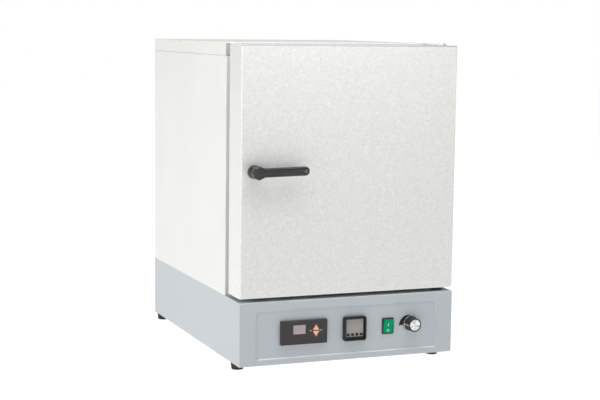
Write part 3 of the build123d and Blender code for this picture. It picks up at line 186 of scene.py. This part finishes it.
class Finish:
    """One node material with a Principled shader, built up by short calls."""

    def __init__(self, name, base, roughness, metallic=0.0, coat=0.0, specular=0.5):
        self.material = bpy.data.materials.new(name)
        self.material.use_nodes = True
        self.tree = self.material.node_tree
        self.tree.nodes.clear()
        self.shader = self.add("ShaderNodeBsdfPrincipled")
        out = self.add("ShaderNodeOutputMaterial")
        self.link(self.shader.outputs["BSDF"], out.inputs["Surface"])
        self.place = self.add("ShaderNodeTexCoord").outputs["Object"]
        self.set(**{"Base Color": (*base, 1.0), "Roughness": roughness, "Metallic": metallic, "Coat Weight": coat,
                    "Specular IOR Level": specular})

    def add(self, kind):
        return self.tree.nodes.new(kind)

    def link(self, source, target):
        self.tree.links.new(source, target)

    def set(self, **values):
        for name, value in values.items():
            self.shader.inputs[name].default_value = value

    def mapped(self, setting, value):
        """Object coordinates with a Location or a Scale of their own."""
        mapping = self.add("ShaderNodeMapping")
        mapping.inputs[setting].default_value = value
        self.link(self.place, mapping.inputs["Vector"])
        return mapping.outputs["Vector"]

    def around(self, centre):
        """Object coordinates measured from a centre."""
        return self.mapped("Location", [-value for value in centre])

    def axes(self, vector):
        """The three values of a vector."""
        parts = self.add("ShaderNodeSeparateXYZ")
        self.link(vector, parts.inputs["Vector"])
        return parts.outputs["X"], parts.outputs["Y"], parts.outputs["Z"]

    def noise(self, scale, detail=2.0, roughness=0.5, stretch=None):
        """Noise whose scale is in features per metre."""
        node = self.add("ShaderNodeTexNoise")
        node.inputs["Scale"].default_value = scale
        node.inputs["Detail"].default_value = detail
        node.inputs["Roughness"].default_value = roughness
        self.link(self.mapped("Scale", stretch) if stretch else self.place, node.inputs["Vector"])
        return node.outputs["Fac"]

    def cells(self, scale):
        """Rounded cells, as hammered paint has them."""
        node = self.add("ShaderNodeTexVoronoi")
        node.feature = "SMOOTH_F1"
        node.inputs["Scale"].default_value = scale
        node.inputs["Smoothness"].default_value = 0.6
        self.link(self.place, node.inputs["Vector"])
        return node.outputs["Distance"]

    def ramp(self, source, low, high):
        """The source spread so that low becomes 0 and high becomes 1."""
        node = self.add("ShaderNodeMapRange")
        node.inputs["From Min"].default_value = low
        node.inputs["From Max"].default_value = high
        self.link(source, node.inputs["Value"])
        return node.outputs["Result"]

    def past(self, source, edge, soft):
        """1 where the source is past an edge and 0 before it; a negative softness turns the two round."""
        return self.ramp(source, edge - soft, edge + soft)

    def blend(self, first, second, share):
        """A mean of two values, with the second one's share."""
        node = self.add("ShaderNodeMix")
        node.data_type = "FLOAT"
        node.inputs["Factor"].default_value = share
        self.link(first, node.inputs["A"])
        self.link(second, node.inputs["B"])
        return node.outputs["Result"]

    def calc(self, operation, first, second=None):
        """One step of arithmetic on values or numbers."""
        node = self.add("ShaderNodeMath")
        node.operation = operation
        for index, value in enumerate((first, second)):
            if isinstance(value, (int, float)):
                node.inputs[index].default_value = value
            elif value is not None:
                self.link(value, node.inputs[index])
        return node.outputs["Value"]

    def mix(self, factor):
        """A colour mix that feeds the base colour."""
        node = self.add("ShaderNodeMix")
        node.data_type = "RGBA"
        self.link(factor, node.inputs["Factor"])
        return node

    def tint(self, factor, dark, light):
        """Base colour between two colours."""
        node = self.mix(factor)
        node.inputs["A"].default_value = (*dark, 1.0)
        node.inputs["B"].default_value = (*light, 1.0)
        self.link(node.outputs["Result"], self.shader.inputs["Base Color"])

    def cover(self, factor, over):
        """A second colour over the base colour where the factor is 1."""
        base = self.shader.inputs["Base Color"]
        node = self.mix(factor)
        node.inputs["B"].default_value = (*over, 1.0)
        self.link(base.links[0].from_socket, node.inputs["A"])
        self.link(node.outputs["Result"], base)

    def rough(self, factor, low, high):
        """Roughness between two values."""
        node = self.add("ShaderNodeMapRange")
        node.inputs["To Min"].default_value = low
        node.inputs["To Max"].default_value = high
        self.link(factor, node.inputs["Value"])
        self.link(node.outputs["Result"], self.shader.inputs["Roughness"])

    def bump(self, height, strength, depth):
        """Relief from a height value, with its depth in metres."""
        node = self.add("ShaderNodeBump")
        node.inputs["Strength"].default_value = strength
        node.inputs["Distance"].default_value = depth
        self.link(height, node.inputs["Height"])
        self.link(node.outputs["Normal"], self.shader.inputs["Normal"])


def shade(base, factor):
    """A colour made darker or lighter."""
    return tuple(min(1.0, value * factor) for value in base)


def powder_coat(name, base, grain):
    """Smooth sprayed paint with a faint orange peel and a slow drift of tone."""
    finish = Finish(name, base, 0.38, specular=0.3)
    finish.tint(finish.ramp(finish.noise(9.0), 0.3, 0.7), shade(base, 0.985), shade(base, 1.01))
    finish.rough(finish.noise(60.0), 0.34, 0.44)
    finish.bump(finish.noise(grain, detail=1.0), 0.12, 0.15 * MM)
    return finish


def cover_paint(name, base, box):
    """White powder coat with painted shade: grey at the cover's two upright corners behind the door, standing in for
    the shade in the gap beside the door.
    """
    low, high = box
    finish = powder_coat(name, base, WHITE_GRAIN)
    across, back, up = finish.axes(finish.place)
    soft = 0.4 * MM
    # Painted shade: a grey strip down the cover's front corners, where the gap beside the door lies in shade
    gap_shade = finish.past(finish.calc("ABSOLUTE", across), high.x - 9.0 * MM, soft)
    gap_shade = finish.calc("MULTIPLY", gap_shade, finish.past(back, low.y + 1.8 * MM, -soft))
    gap_shade = finish.calc("MULTIPLY", gap_shade, finish.past(up, high.z - 1.8 * MM, -soft))
    finish.cover(gap_shade, COVER_GAP_SHADE)
    return finish.material


def panel_paint(name, base, box):
    """Base paint with painted highlights: a pale line on the top fold and on the lower edge of the pressed recess.
    """
    low, high = box
    finish = powder_coat(name, base, GREY_GRAIN)
    across, _, up = finish.axes(finish.place)
    # Painted highlight: paler along the top front fold
    top_edge_highlight = finish.past(up, high.z - 1.6 * MM, 0.6 * MM)
    finish.cover(finish.calc("MULTIPLY", top_edge_highlight, 0.6), shade(base, 1.45))
    # Painted highlight: a pale line along the recess's lower edge
    away = finish.calc("ABSOLUTE", finish.calc("SUBTRACT", up, low.z + RECESS_RISE))
    line = finish.past(away, 1.1 * MM, -0.4 * MM)
    end = 1.5 * MM
    inside = finish.calc("MULTIPLY", finish.past(across, RECESS_LEFT + end, end),
                         finish.past(across, -RECESS_LEFT - end, -end))
    finish.cover(finish.calc("MULTIPLY", line, inside), RECESS_EDGE_HIGHLIGHT)
    return finish.material


def hammered_paint(name, dark, light, box):
    """Hammered paint: small rounded hollows with lighter rims, uneven in size, and painted shade, a grey band along
    the top front edge.
    """
    low, high = box
    finish = Finish(name, light, 0.33, metallic=0.12, coat=0.15)
    cells = finish.ramp(finish.cells(300.0), 0.05, 0.75)
    cloud = finish.noise(210.0, detail=3.0, roughness=0.65)
    mottle = finish.blend(cells, finish.ramp(cloud, 0.3, 0.7), 0.55)
    finish.tint(mottle, dark, light)
    _, back, up = finish.axes(finish.place)
    soft = 0.5 * MM
    # Painted shade: a grey band along the door's top front edge
    fold = finish.calc("MULTIPLY", finish.past(up, high.z - 2.7 * MM, soft),
                       finish.past(back, low.y + 2.5 * MM, -soft))
    finish.cover(fold, DOOR_EDGE_SHADE)
    finish.rough(cloud, 0.26, 0.46)
    finish.bump(mottle, 0.45, 0.35 * MM)
    return finish.material


def key_plastic(name, base, rust, centre, half_width, height):
    """Pale key plastic with a rust edge along both slopes of the two keys."""
    finish = Finish(name, base, 0.5)
    finish.tint(finish.noise(70.0), shade(base, 0.94), shade(base, 1.06))
    finish.rough(finish.noise(1600.0), 0.45, 0.58)
    across, _, up = finish.axes(finish.around(centre))
    reach = finish.calc("MULTIPLY", finish.calc("ABSOLUTE", up), half_width / height)
    used = finish.calc("ADD", finish.calc("ABSOLUTE", across), reach)
    finish.cover(finish.past(used, half_width - 1.2 * MM, 0.3 * MM), rust)
    return finish.material


def brushed_metal(name, base):
    """Metal with fine upright lines."""
    finish = Finish(name, base, 0.34, metallic=1.0)
    lines = finish.noise(1.0, detail=3.0, roughness=0.6, stretch=(900.0, 900.0, 12.0))
    finish.tint(lines, shade(base, 0.9), shade(base, 1.06))
    finish.rough(lines, 0.28, 0.42)
    finish.bump(lines, 0.08, 0.05 * MM)
    return finish.material


def plated(name, base, roughness):
    """Plated or turned metal with faint clouding."""
    finish = Finish(name, base, roughness, metallic=1.0)
    cloud = finish.noise(220.0, detail=3.0)
    finish.tint(cloud, shade(base, 0.9), shade(base, 1.05))
    finish.rough(cloud, roughness - 0.05, roughness + 0.08)
    return finish.material


def spun_metal(name, base, centre, radius):
    """Turned disc with rings round its middle, painted reflections as light and dark rays, and a dark rim."""
    finish = Finish(name, base, 0.25, metallic=1.0)
    here = finish.around(centre)
    across, _, up = finish.axes(here)
    # Painted reflection: light and dark rays round the middle stand in for the turned metal's reflections
    reflection_rays = finish.add("ShaderNodeTexNoise")
    reflection_rays.noise_dimensions = "1D"
    reflection_rays.inputs["Scale"].default_value = 1.6
    reflection_rays.inputs["Detail"].default_value = 3.0
    finish.link(finish.calc("ARCTAN2", up, across), reflection_rays.inputs["W"])
    finish.tint(finish.ramp(reflection_rays.outputs["Fac"], 0.38, 0.62), shade(base, 0.45), base)
    squares = finish.calc("ADD", finish.calc("MULTIPLY", across, across), finish.calc("MULTIPLY", up, up))
    finish.cover(finish.past(finish.calc("SQRT", squares), radius - 1.3 * MM, 0.3 * MM), DISC_RIM)
    rings = finish.add("ShaderNodeTexWave")
    rings.wave_type = "RINGS"
    rings.rings_direction = "Y"
    rings.inputs["Scale"].default_value = 900.0
    rings.inputs["Distortion"].default_value = 1.5
    finish.link(here, rings.inputs["Vector"])
    finish.rough(rings.outputs["Fac"], 0.2, 0.4)
    finish.bump(rings.outputs["Fac"], 0.15, 0.05 * MM)
    return finish.material


def grained_plastic(name, base):
    """Moulded plastic with a fine matt grain."""
    finish = Finish(name, base, 0.42)
    grain = finish.noise(1600.0)
    finish.tint(finish.noise(70.0), shade(base, 0.9), shade(base, 1.15))
    finish.rough(grain, 0.37, 0.5)
    finish.bump(grain, 0.18, 0.08 * MM)
    return finish.material


def satin_plastic(name, base):
    """Satin moulded plastic with painted highlights: light and dark streaks along the lever."""
    finish = Finish(name, base, 0.27)
    lines = finish.noise(1.0, stretch=(22.0, 330.0, 330.0))
    # Painted highlights: streaks along the lever, lighter and darker than the plastic
    finish.tint(finish.ramp(lines, 0.32, 0.68), shade(base, 0.5), shade(base, 1.9))
    finish.rough(lines, 0.2, 0.42)
    finish.bump(finish.noise(1600.0), 0.15, 0.06 * MM)
    return finish.material


def glossy_plastic(name, base, roughness, specular):
    """Polished plastic with a hint of smudging."""
    finish = Finish(name, base, roughness, specular=specular)
    smudge = finish.noise(90.0, detail=4.0)
    finish.tint(smudge, shade(base, 0.9), shade(base, 1.1))
    finish.rough(smudge, roughness - 0.07, roughness + 0.07)
    return finish.material


def rubber(name, base):
    """Dull rubber with a dusty bloom."""
    finish = Finish(name, base, 0.75)
    bloom = finish.noise(240.0, detail=4.0, roughness=0.7)
    finish.tint(bloom, shade(base, 0.8), shade(base, 1.5))
    finish.bump(finish.noise(1200.0), 0.2, 0.1 * MM)
    return finish.material


def mineral_wool(name):
    """Matted yellow-brown fibres."""
    finish = Finish(name, (0.55, 0.47, 0.28), 0.95)
    fibres = finish.noise(400.0, detail=6.0, roughness=0.8, stretch=(1.0, 0.2, 1.0))
    finish.tint(fibres, (0.36, 0.30, 0.17), (0.72, 0.64, 0.42))
    finish.bump(fibres, 0.9, 1.5 * MM)
    return finish.material


def display_pane(name, base):
    """Unlit display behind a tinted window, with faint specks."""
    finish = Finish(name, base, 0.2, coat=0.5)
    specks = finish.noise(700.0, detail=4.0, roughness=0.8)
    finish.tint(finish.ramp(specks, 0.35, 0.65), shade(base, 0.78), shade(base, 1.15))
    return finish.material


def timer_face(name, base, split):
    """Flat timer front: a warm tinted filter on the left and plain dark film on the right."""
    finish = Finish(name, base, 0.4, specular=0.35)
    across, _, _ = finish.axes(finish.place)
    red, green, blue = base
    warm, cool = (red * 1.1, green, blue), (red * 0.97, green * 1.03, blue * 1.08)
    finish.tint(finish.past(across, split, 6.0 * MM), warm, cool)
    finish.bump(finish.noise(1800.0), 0.08, 0.05 * MM)
    return finish.material


def print_ink(name, base):
    """Screen-printed ink."""
    finish = Finish(name, base, 0.5)
    finish.tint(finish.noise(500.0), shade(base, 0.92), shade(base, 1.05))
    return finish.material


def dress(names, material):
    """Give a finish to fixed nodes."""
    for name in names:
        mesh = frame["nodes"][name].data
        mesh.materials.clear()
        mesh.materials.append(material)


# New pieces

def new_piece(name, bm, material, body, smooth=False):
    """Turn a bmesh into a piece that rides on a body."""
    bmesh.ops.recalc_face_normals(bm, faces=bm.faces)
    mesh = bpy.data.meshes.new(name)
    bm.to_mesh(mesh)
    bm.free()
    mesh.polygons.foreach_set("use_smooth", [smooth] * len(mesh.polygons))
    mesh.materials.append(material)
    piece = bpy.data.objects.new(name, mesh)
    bpy.context.scene.collection.objects.link(piece)
    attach(piece, body)


def thicken(bm, depth):
    """Give flat faces a thickness towards the front."""
    made = bmesh.ops.extrude_face_region(bm, geom=list(bm.faces))["geom"]
    moved = [item for item in made if isinstance(item, bmesh.types.BMVert)]
    bmesh.ops.translate(bm, verts=moved, vec=(0, -depth, 0))


def flat_bar(bm, centre, width, height, depth):
    """A thin bar seen from the front, with softened edges."""
    made = bmesh.ops.create_cube(bm, size=1.0)["verts"]
    bmesh.ops.scale(bm, verts=made, vec=(width, depth, height))
    bmesh.ops.translate(bm, verts=made, vec=centre)
    edges = list({edge for vert in made for edge in vert.link_edges})
    bmesh.ops.bevel(bm, geom=edges, offset=min(width, height, depth) * 0.3, affect="EDGES", segments=2, profile=0.5,
                    material=-1)


def round_ring(bm, radius, thickness, sides, steps):
    """A ring of round wire that faces the front."""
    wire = bmesh.ops.create_circle(bm, cap_ends=False, radius=thickness / 2, segments=sides,
                                   matrix=Matrix.Translation((radius, 0, 0)))["verts"]
    bmesh.ops.spin(bm, geom=[*wire, *bm.edges], cent=(0, 0, 0), axis=(0, 1, 0), angle=math.tau, steps=steps,
                   use_merge=True)


class OvenOperator(bpy.types.Operator):
    """One finishing step of the oven."""
    bl_options = {"REGISTER", "UNDO"}

    @property
    def paints(self):
        return bpy.context.scene.oven_paints

    @property
    def marks(self):
        return bpy.context.scene.oven_marks


class OVEN_OT_paint_cabinet(OvenOperator):
    """Paint the side panels, the back, the cover and the upper hinge bracket white"""
    bl_idname = "oven.paint_cabinet"
    bl_label = "Paint the cabinet"

    def execute(self, context):
        dress(WHITE_NODES, powder_coat("white_powder_coat", self.paints.white, WHITE_GRAIN).material)
        dress(["top_cover"], cover_paint("white_cover_paint", self.paints.white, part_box("top_cover")))
        return {"FINISHED"}


class OVEN_OT_paint_door(OvenOperator):
    """Give the door its hammered paint"""
    bl_idname = "oven.paint_door"
    bl_label = "Paint the door"

    def execute(self, context):
        paint = hammered_paint("hammered_door_paint", self.paints.door_dark, self.paints.door_light,
                               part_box("door_skin"))
        dress(["door_skin"], paint)
        return {"FINISHED"}


class OVEN_OT_paint_base(OvenOperator):
    """Paint the instrument base blue-grey and its hinge plate black"""
    bl_idname = "oven.paint_base"
    bl_label = "Paint the base"

    def execute(self, context):
        dress(GREY_NODES, powder_coat("grey_base_paint", self.paints.grey, GREY_GRAIN).material)
        dress(["control_panel"], panel_paint("grey_panel_paint", self.paints.grey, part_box("control_panel")))
        black = powder_coat("black_hinge_paint", (0.02, 0.02, 0.021), GREY_GRAIN)
        dress(["lower_hinge_bracket"], black.material)
        return {"FINISHED"}


class OVEN_OT_finish_metals(OvenOperator):
    """Finish the stainless, plated, heated and turned metal parts"""
    bl_idname = "oven.finish_metals"
    bl_label = "Finish the metals"

    def execute(self, context):
        dress(STEEL_NODES, brushed_metal("brushed_stainless", self.paints.steel))
        dress(WIRE_NODES, plated("plated_wire", (0.75, 0.75, 0.74), 0.16))
        dress(ZINC_NODES, plated("zinc_plating", (0.60, 0.60, 0.58), 0.34))
        dress(BRIGHT_ZINC_NODES, plated("bright_zinc", (0.90, 0.90, 0.87), 0.5))
        dress(["heater_element"], plated("heat_darkened_steel", (0.16, 0.15, 0.15), 0.5))
        dress(["handle_screw"], plated("blackened_screw", (0.20, 0.20, 0.20), 0.35))
        dress(["hinge_bushes"], plated("turned_brass", (0.66, 0.47, 0.22), 0.3))
        low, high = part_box("knob_cap")
        radius = (high.x - low.x) / 2
        dress(["knob_cap"], spun_metal("spun_aluminium", (0.90, 0.90, 0.90), (low + high) / 2, radius))
        return {"FINISHED"}


class OVEN_OT_finish_soft_parts(OvenOperator):
    """Finish the wool, the silicone ring and the rubber feet"""
    bl_idname = "oven.finish_soft_parts"
    bl_label = "Finish the soft parts"

    def execute(self, context):
        dress(WOOL_NODES, mineral_wool("mineral_wool"))
        dress(["door_gasket"], rubber("red_silicone", (0.28, 0.07, 0.05)))
        dress(["feet"], rubber("black_rubber", (0.018, 0.018, 0.018)))
        return {"FINISHED"}


class OVEN_OT_finish_plastics(OvenOperator):
    """Finish the lever, the knob, the instruments and the switch"""
    bl_idname = "oven.finish_plastics"
    bl_label = "Finish the plastics"

    def execute(self, context):
        paints = self.paints
        dress(GRAINED_NODES, grained_plastic("grained_black_plastic", paints.black))
        dress(SATIN_NODES, satin_plastic("satin_black_plastic", shade(paints.black, 0.85)))
        dress(GLOSSY_NODES, glossy_plastic("glossy_black_plastic", shade(paints.black, 0.3), 0.12, 0.35))
        dress(["switch_rocker"], glossy_plastic("green_rocker_plastic", paints.rocker, 0.3, 0.05))
        low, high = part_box("timer_up_key")
        split = (low.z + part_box("timer_down_key")[1].z) / 2
        centre = ((low.x + high.x) / 2, 0.0, split)
        dress(KEY_NODES, key_plastic("peach_key_plastic", paints.key, KEY_RUST, centre, (high.x - low.x) / 2,
                                     high.z - split))
        low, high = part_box("timer_bezel")
        dress(["timer_bezel"], timer_face("timer_face_film", paints.timer, low.x + (high.x - low.x) * FILTER_SHARE))
        dress(["timer_window"], display_pane("timer_pane", paints.pane))
        dress(["controller_screen"], display_pane("controller_pane", paints.screen))
        return {"FINISHED"}


class OVEN_OT_print_limiter_scale(OvenOperator):
    """Print the crescent scale round the limiter's knob"""
    bl_idname = "oven.print_limiter_scale"
    bl_label = "Print the limiter scale"

    def execute(self, context):
        marks = self.marks
        low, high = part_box("knob_body")
        middle = (low + high) / 2
        panel_face = high.y + 0.6 * MM
        bm = bmesh.new()
        verts = [bm.verts.new((math.cos(SCALE_FROM) * radius, 0.0, math.sin(SCALE_FROM) * radius))
                 for radius in (marks.scale_inner, marks.scale_start)]
        edge = bm.edges.new(verts)
        bmesh.ops.spin(bm, geom=[*verts, edge], cent=(0, 0, 0), axis=(0, 1, 0), angle=SCALE_SWEEP, steps=SCALE_STEPS,
                       use_merge=False)
        for vert in bm.verts:
            radius = math.hypot(vert.co.x, vert.co.z)
            if radius > (marks.scale_inner + marks.scale_start) / 2:
                share = (SCALE_FROM - math.atan2(vert.co.z, vert.co.x) % math.tau) / SCALE_SWEEP
                wanted = marks.scale_start + (marks.scale_end - marks.scale_start) * share
                bmesh.ops.scale(bm, verts=[vert], vec=(wanted / radius, 1.0, wanted / radius))
        thicken(bm, marks.film)
        bmesh.ops.translate(bm, verts=bm.verts, vec=(middle.x, panel_face, middle.z))
        ink = print_ink("black_scale_ink", (0.012, 0.012, 0.012))
        new_piece("limiter_scale", bm, ink, "cabinet")
        return {"FINISHED"}


class OVEN_OT_mark_knob(OvenOperator):
    """Add the bright trim ring and the white pointer line of the knob"""
    bl_idname = "oven.mark_knob"
    bl_label = "Mark the knob"

    def execute(self, context):
        low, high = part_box("knob_body")
        middle = (low + high) / 2
        radius = (high.x - low.x) / 2
        depth = high.y - low.y
        bm = bmesh.new()
        round_ring(bm, radius - 0.5 * MM, 0.9 * MM, 10, 72)
        bmesh.ops.translate(bm, verts=bm.verts, vec=(middle.x, high.y - COLLAR, middle.z))
        trim = plated("bright_trim", (0.95, 0.95, 0.95), 0.5)
        new_piece("knob_trim_ring", bm, trim, "knob", smooth=True)
        bm = bmesh.new()
        flat_bar(bm, (POINTER_LINE, -depth / 2 - 1.2 * MM, 0), 1.0 * MM, 1.3 * MM, depth - COLLAR)
        flat_bar(bm, (POINTER_FOOT, -COLLAR, 0), 1.6 * MM, 1.3 * MM, 0.5 * MM)
        bmesh.ops.translate(bm, verts=bm.verts, vec=(middle.x, high.y, middle.z))
        new_piece("knob_pointer", bm, print_ink("white_ink", (0.85, 0.85, 0.85)), "knob")
        return {"FINISHED"}


class OVEN_OT_mark_rocker(OvenOperator):
    """Print the I and the O on the rocker"""
    bl_idname = "oven.mark_rocker"
    bl_label = "Mark the rocker"

    def seat(self, bm, side, height):
        """Lay a mark on one half of the rocker's face, a hair proud of it."""
        pivot = Matrix.Translation(joints["rocker_tilt"]["pos_m"])
        tilt = Matrix.Rotation(ROCKER_TILT, 4, "X")
        out = Matrix.Translation((0, -ROCKER_FACE - ROCKER_SLOPE * abs(height) - 0.02 * MM, height))
        lean = Matrix.Rotation(side * math.atan(ROCKER_SLOPE), 4, "X")
        bmesh.ops.transform(bm, matrix=pivot @ tilt @ out @ lean, verts=bm.verts)

    def execute(self, context):
        white = print_ink("rocker_mark_ink", (0.72, 0.9, 0.78))
        film, line = 0.16 * MM, 1.0 * MM
        bm = bmesh.new()
        flat_bar(bm, (0, 0, 0), 1.1 * MM, 6.2 * MM, film)
        self.seat(bm, 1, ON_MARK_HEIGHT)
        new_piece("rocker_on_mark", bm, white, "rocker")
        bm = bmesh.new()
        round_ring(bm, 2.0 * MM, line, 8, 32)
        bmesh.ops.scale(bm, verts=bm.verts, vec=(1.0, film / line, 1.0))
        self.seat(bm, -1, OFF_MARK_HEIGHT)
        new_piece("rocker_off_mark", bm, white, "rocker", smooth=True)
        return {"FINISHED"}


class OVEN_OT_print_timer_face(OvenOperator):
    """Print the white line and the dark outlines round the timer's keys"""
    bl_idname = "oven.print_timer_face"
    bl_label = "Print the timer face"

    def outline(self, name, key, side, ink):
        """A dark line round the two slopes of a key that points up (side 1) or down (side -1)."""
        low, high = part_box(key)
        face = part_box("timer_bezel")[0].y
        half, tall = (high.x - low.x) / 2, high.z - low.z
        middle = (low.x + high.x) / 2
        foot = low.z if side > 0 else high.z
        bm = bmesh.new()
        rims = []
        for reach in (OUTER_REACH * self.marks.outline, INNER_REACH * KEY_GAP):
            corners = ((middle - half - reach, foot), (middle + half + reach, foot),
                       (middle, foot + side * (tall + reach)))
            left, right, tip = [bm.verts.new((x, face, z)) for x, z in corners]
            rims += [bm.edges.new((right, tip)), bm.edges.new((tip, left))]
        bmesh.ops.bridge_loops(bm, edges=rims)
        thicken(bm, self.marks.film)
        new_piece(name, bm, ink, "cabinet")

    def execute(self, context):
        marks = self.marks
        rust = print_ink("rust_outline_ink", (0.16, 0.035, 0.015))
        self.outline("up_key_outline", "timer_up_key", 1, rust)
        self.outline("down_key_outline", "timer_down_key", -1, rust)
        low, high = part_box("timer_up_key")
        split = (low.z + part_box("timer_down_key")[1].z) / 2
        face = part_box("timer_bezel")[0].y
        bm = bmesh.new()
        for side in (-1, 1):
            centre = (low.x + high.x) / 2 + side * (marks.line_length / 4 + LINE_GAP / 2)
            flat_bar(bm, (centre, face - marks.film / 2, split), marks.line_length / 2 - LINE_GAP, marks.line_width,
                     marks.film)
        new_piece("timer_line", bm, print_ink("pale_line_ink", (0.75, 0.73, 0.70)), "cabinet")
        return {"FINISHED"}


class OVEN_OT_set_stage(OvenOperator):
    """Lay the pale floor, hang the soft lights and stand the camera"""
    bl_idname = "oven.set_stage"
    bl_label = "Set the stage"

    def area_light(self, name, place, aim, size, watts):
        """A large soft light that points at a place."""
        light = bpy.data.lights.new(name, "AREA")
        light.shape = "RECTANGLE"
        light.size, light.size_y = size
        light.energy = watts
        lamp = bpy.data.objects.new(name, light)
        lamp.location = place
        lamp.rotation_euler = (Vector(aim) - Vector(place)).to_track_quat("-Z", "Y").to_euler()
        lamp.visible_camera = False
        bpy.context.scene.collection.objects.link(lamp)

    def floor(self, glow):
        """A wide pale floor."""
        bm = bmesh.new()
        bmesh.ops.create_grid(bm, x_segments=1, y_segments=1, size=12.0)
        mesh = bpy.data.meshes.new("studio_floor")
        bm.to_mesh(mesh)
        bm.free()
        finish = Finish("pale_floor", (0.3, 0.3, 0.3), 0.9, specular=0.0)
        finish.tint(finish.noise(2.0), (0.29, 0.29, 0.29), (0.31, 0.31, 0.31))
        finish.set(**{"Emission Color": (1.0, 1.0, 1.0, 1.0), "Emission Strength": glow})
        mesh.materials.append(finish.material)
        floor = bpy.data.objects.new("studio_floor", mesh)
        bpy.context.scene.collection.objects.link(floor)

    def sky(self, strength):
        """Even soft light all round, in front of a backdrop that looks pure white."""
        world = bpy.data.worlds.new("studio_sky")
        world.use_nodes = True
        tree = world.node_tree
        light = tree.nodes["Background"]
        seen = tree.nodes.new("ShaderNodeBackground")
        for node, value in ((light, strength), (seen, 1.0)):
            node.inputs["Color"].default_value = (1.0, 1.0, 1.0, 1.0)
            node.inputs["Strength"].default_value = value
        mix = tree.nodes.new("ShaderNodeMixShader")
        tree.links.new(tree.nodes.new("ShaderNodeLightPath").outputs["Is Camera Ray"], mix.inputs["Fac"])
        tree.links.new(light.outputs["Background"], mix.inputs[1])
        tree.links.new(seen.outputs["Background"], mix.inputs[2])
        tree.links.new(mix.outputs["Shader"], tree.nodes["World Output"].inputs["Surface"])
        bpy.context.scene.world = world

    def camera(self, studio):
        """The camera at the fitted viewpoint."""
        data = bpy.data.cameras.new("studio_camera")
        data.lens = studio.lens
        data.sensor_width = 36.0
        data.clip_end = 60.0
        camera = bpy.data.objects.new("studio_camera", data)
        ahead = Vector((math.sin(studio.yaw) * math.cos(studio.pitch), math.cos(studio.yaw) * math.cos(studio.pitch),
                        -math.sin(studio.pitch)))
        right = ahead.cross(Vector((0, 0, 1))).normalized()
        up = right.cross(ahead)
        rolled_right = math.cos(studio.roll) * right + math.sin(studio.roll) * up
        rolled_up = math.cos(studio.roll) * up - math.sin(studio.roll) * right
        turn = Matrix((rolled_right, rolled_up, -ahead)).transposed()
        camera.matrix_world = Matrix.Translation(studio.camera_place) @ turn.to_4x4()
        bpy.context.scene.collection.objects.link(camera)
        bpy.context.scene.camera = camera

    def execute(self, context):
        studio = context.scene.oven_studio
        self.floor(studio.glow)
        self.sky(studio.sky)
        for name, place, aim, size, setting in LIGHTS:
            self.area_light(name, place, aim, size, getattr(studio, setting))
        self.camera(studio)
        context.scene.view_settings.view_transform = "Standard"
        return {"FINISHED"}


class OVEN_PT_finish(bpy.types.Panel):
    """Sidebar panel that lists the settings and the finishing steps"""
    bl_idname = "OVEN_PT_finish"
    bl_label = "Oven finish"
    bl_space_type = "VIEW_3D"
    bl_region_type = "UI"
    bl_category = "Oven"

    def draw(self, context):
        for name, group in GROUPS.items():
            for setting in group.__annotations__:
                self.layout.prop(getattr(context.scene, name), setting)
        for step in STEPS:
            self.layout.operator(step.bl_idname)


STEPS = (
    OVEN_OT_paint_cabinet,
    OVEN_OT_paint_door,
    OVEN_OT_paint_base,
    OVEN_OT_finish_metals,
    OVEN_OT_finish_soft_parts,
    OVEN_OT_finish_plastics,
    OVEN_OT_print_limiter_scale,
    OVEN_OT_mark_knob,
    OVEN_OT_mark_rocker,
    OVEN_OT_print_timer_face,
    OVEN_OT_set_stage,
)
GROUPS = {"oven_paints": OvenPaints, "oven_marks": OvenMarks, "oven_studio": OvenStudio}


def register():
    for cls in (*GROUPS.values(), *STEPS, OVEN_PT_finish):
        bpy.utils.register_class(cls)
    for name, group in GROUPS.items():
        setattr(bpy.types.Scene, name, bpy.props.PointerProperty(type=group))


def unregister():
    for name in GROUPS:
        delattr(bpy.types.Scene, name)
    for cls in (OVEN_PT_finish, *reversed(STEPS), *GROUPS.values()):
        bpy.utils.unregister_class(cls)


def main():
    """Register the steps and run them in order."""
    register()
    bpy.ops.oven.paint_cabinet()
    bpy.ops.oven.paint_door()
    bpy.ops.oven.paint_base()
    bpy.ops.oven.finish_metals()
    bpy.ops.oven.finish_soft_parts()
    bpy.ops.oven.finish_plastics()
    bpy.ops.oven.print_limiter_scale()
    bpy.ops.oven.mark_knob()
    bpy.ops.oven.mark_rocker()
    bpy.ops.oven.print_timer_face()
    bpy.ops.oven.set_stage()


if __name__ == "__main__":
    main()
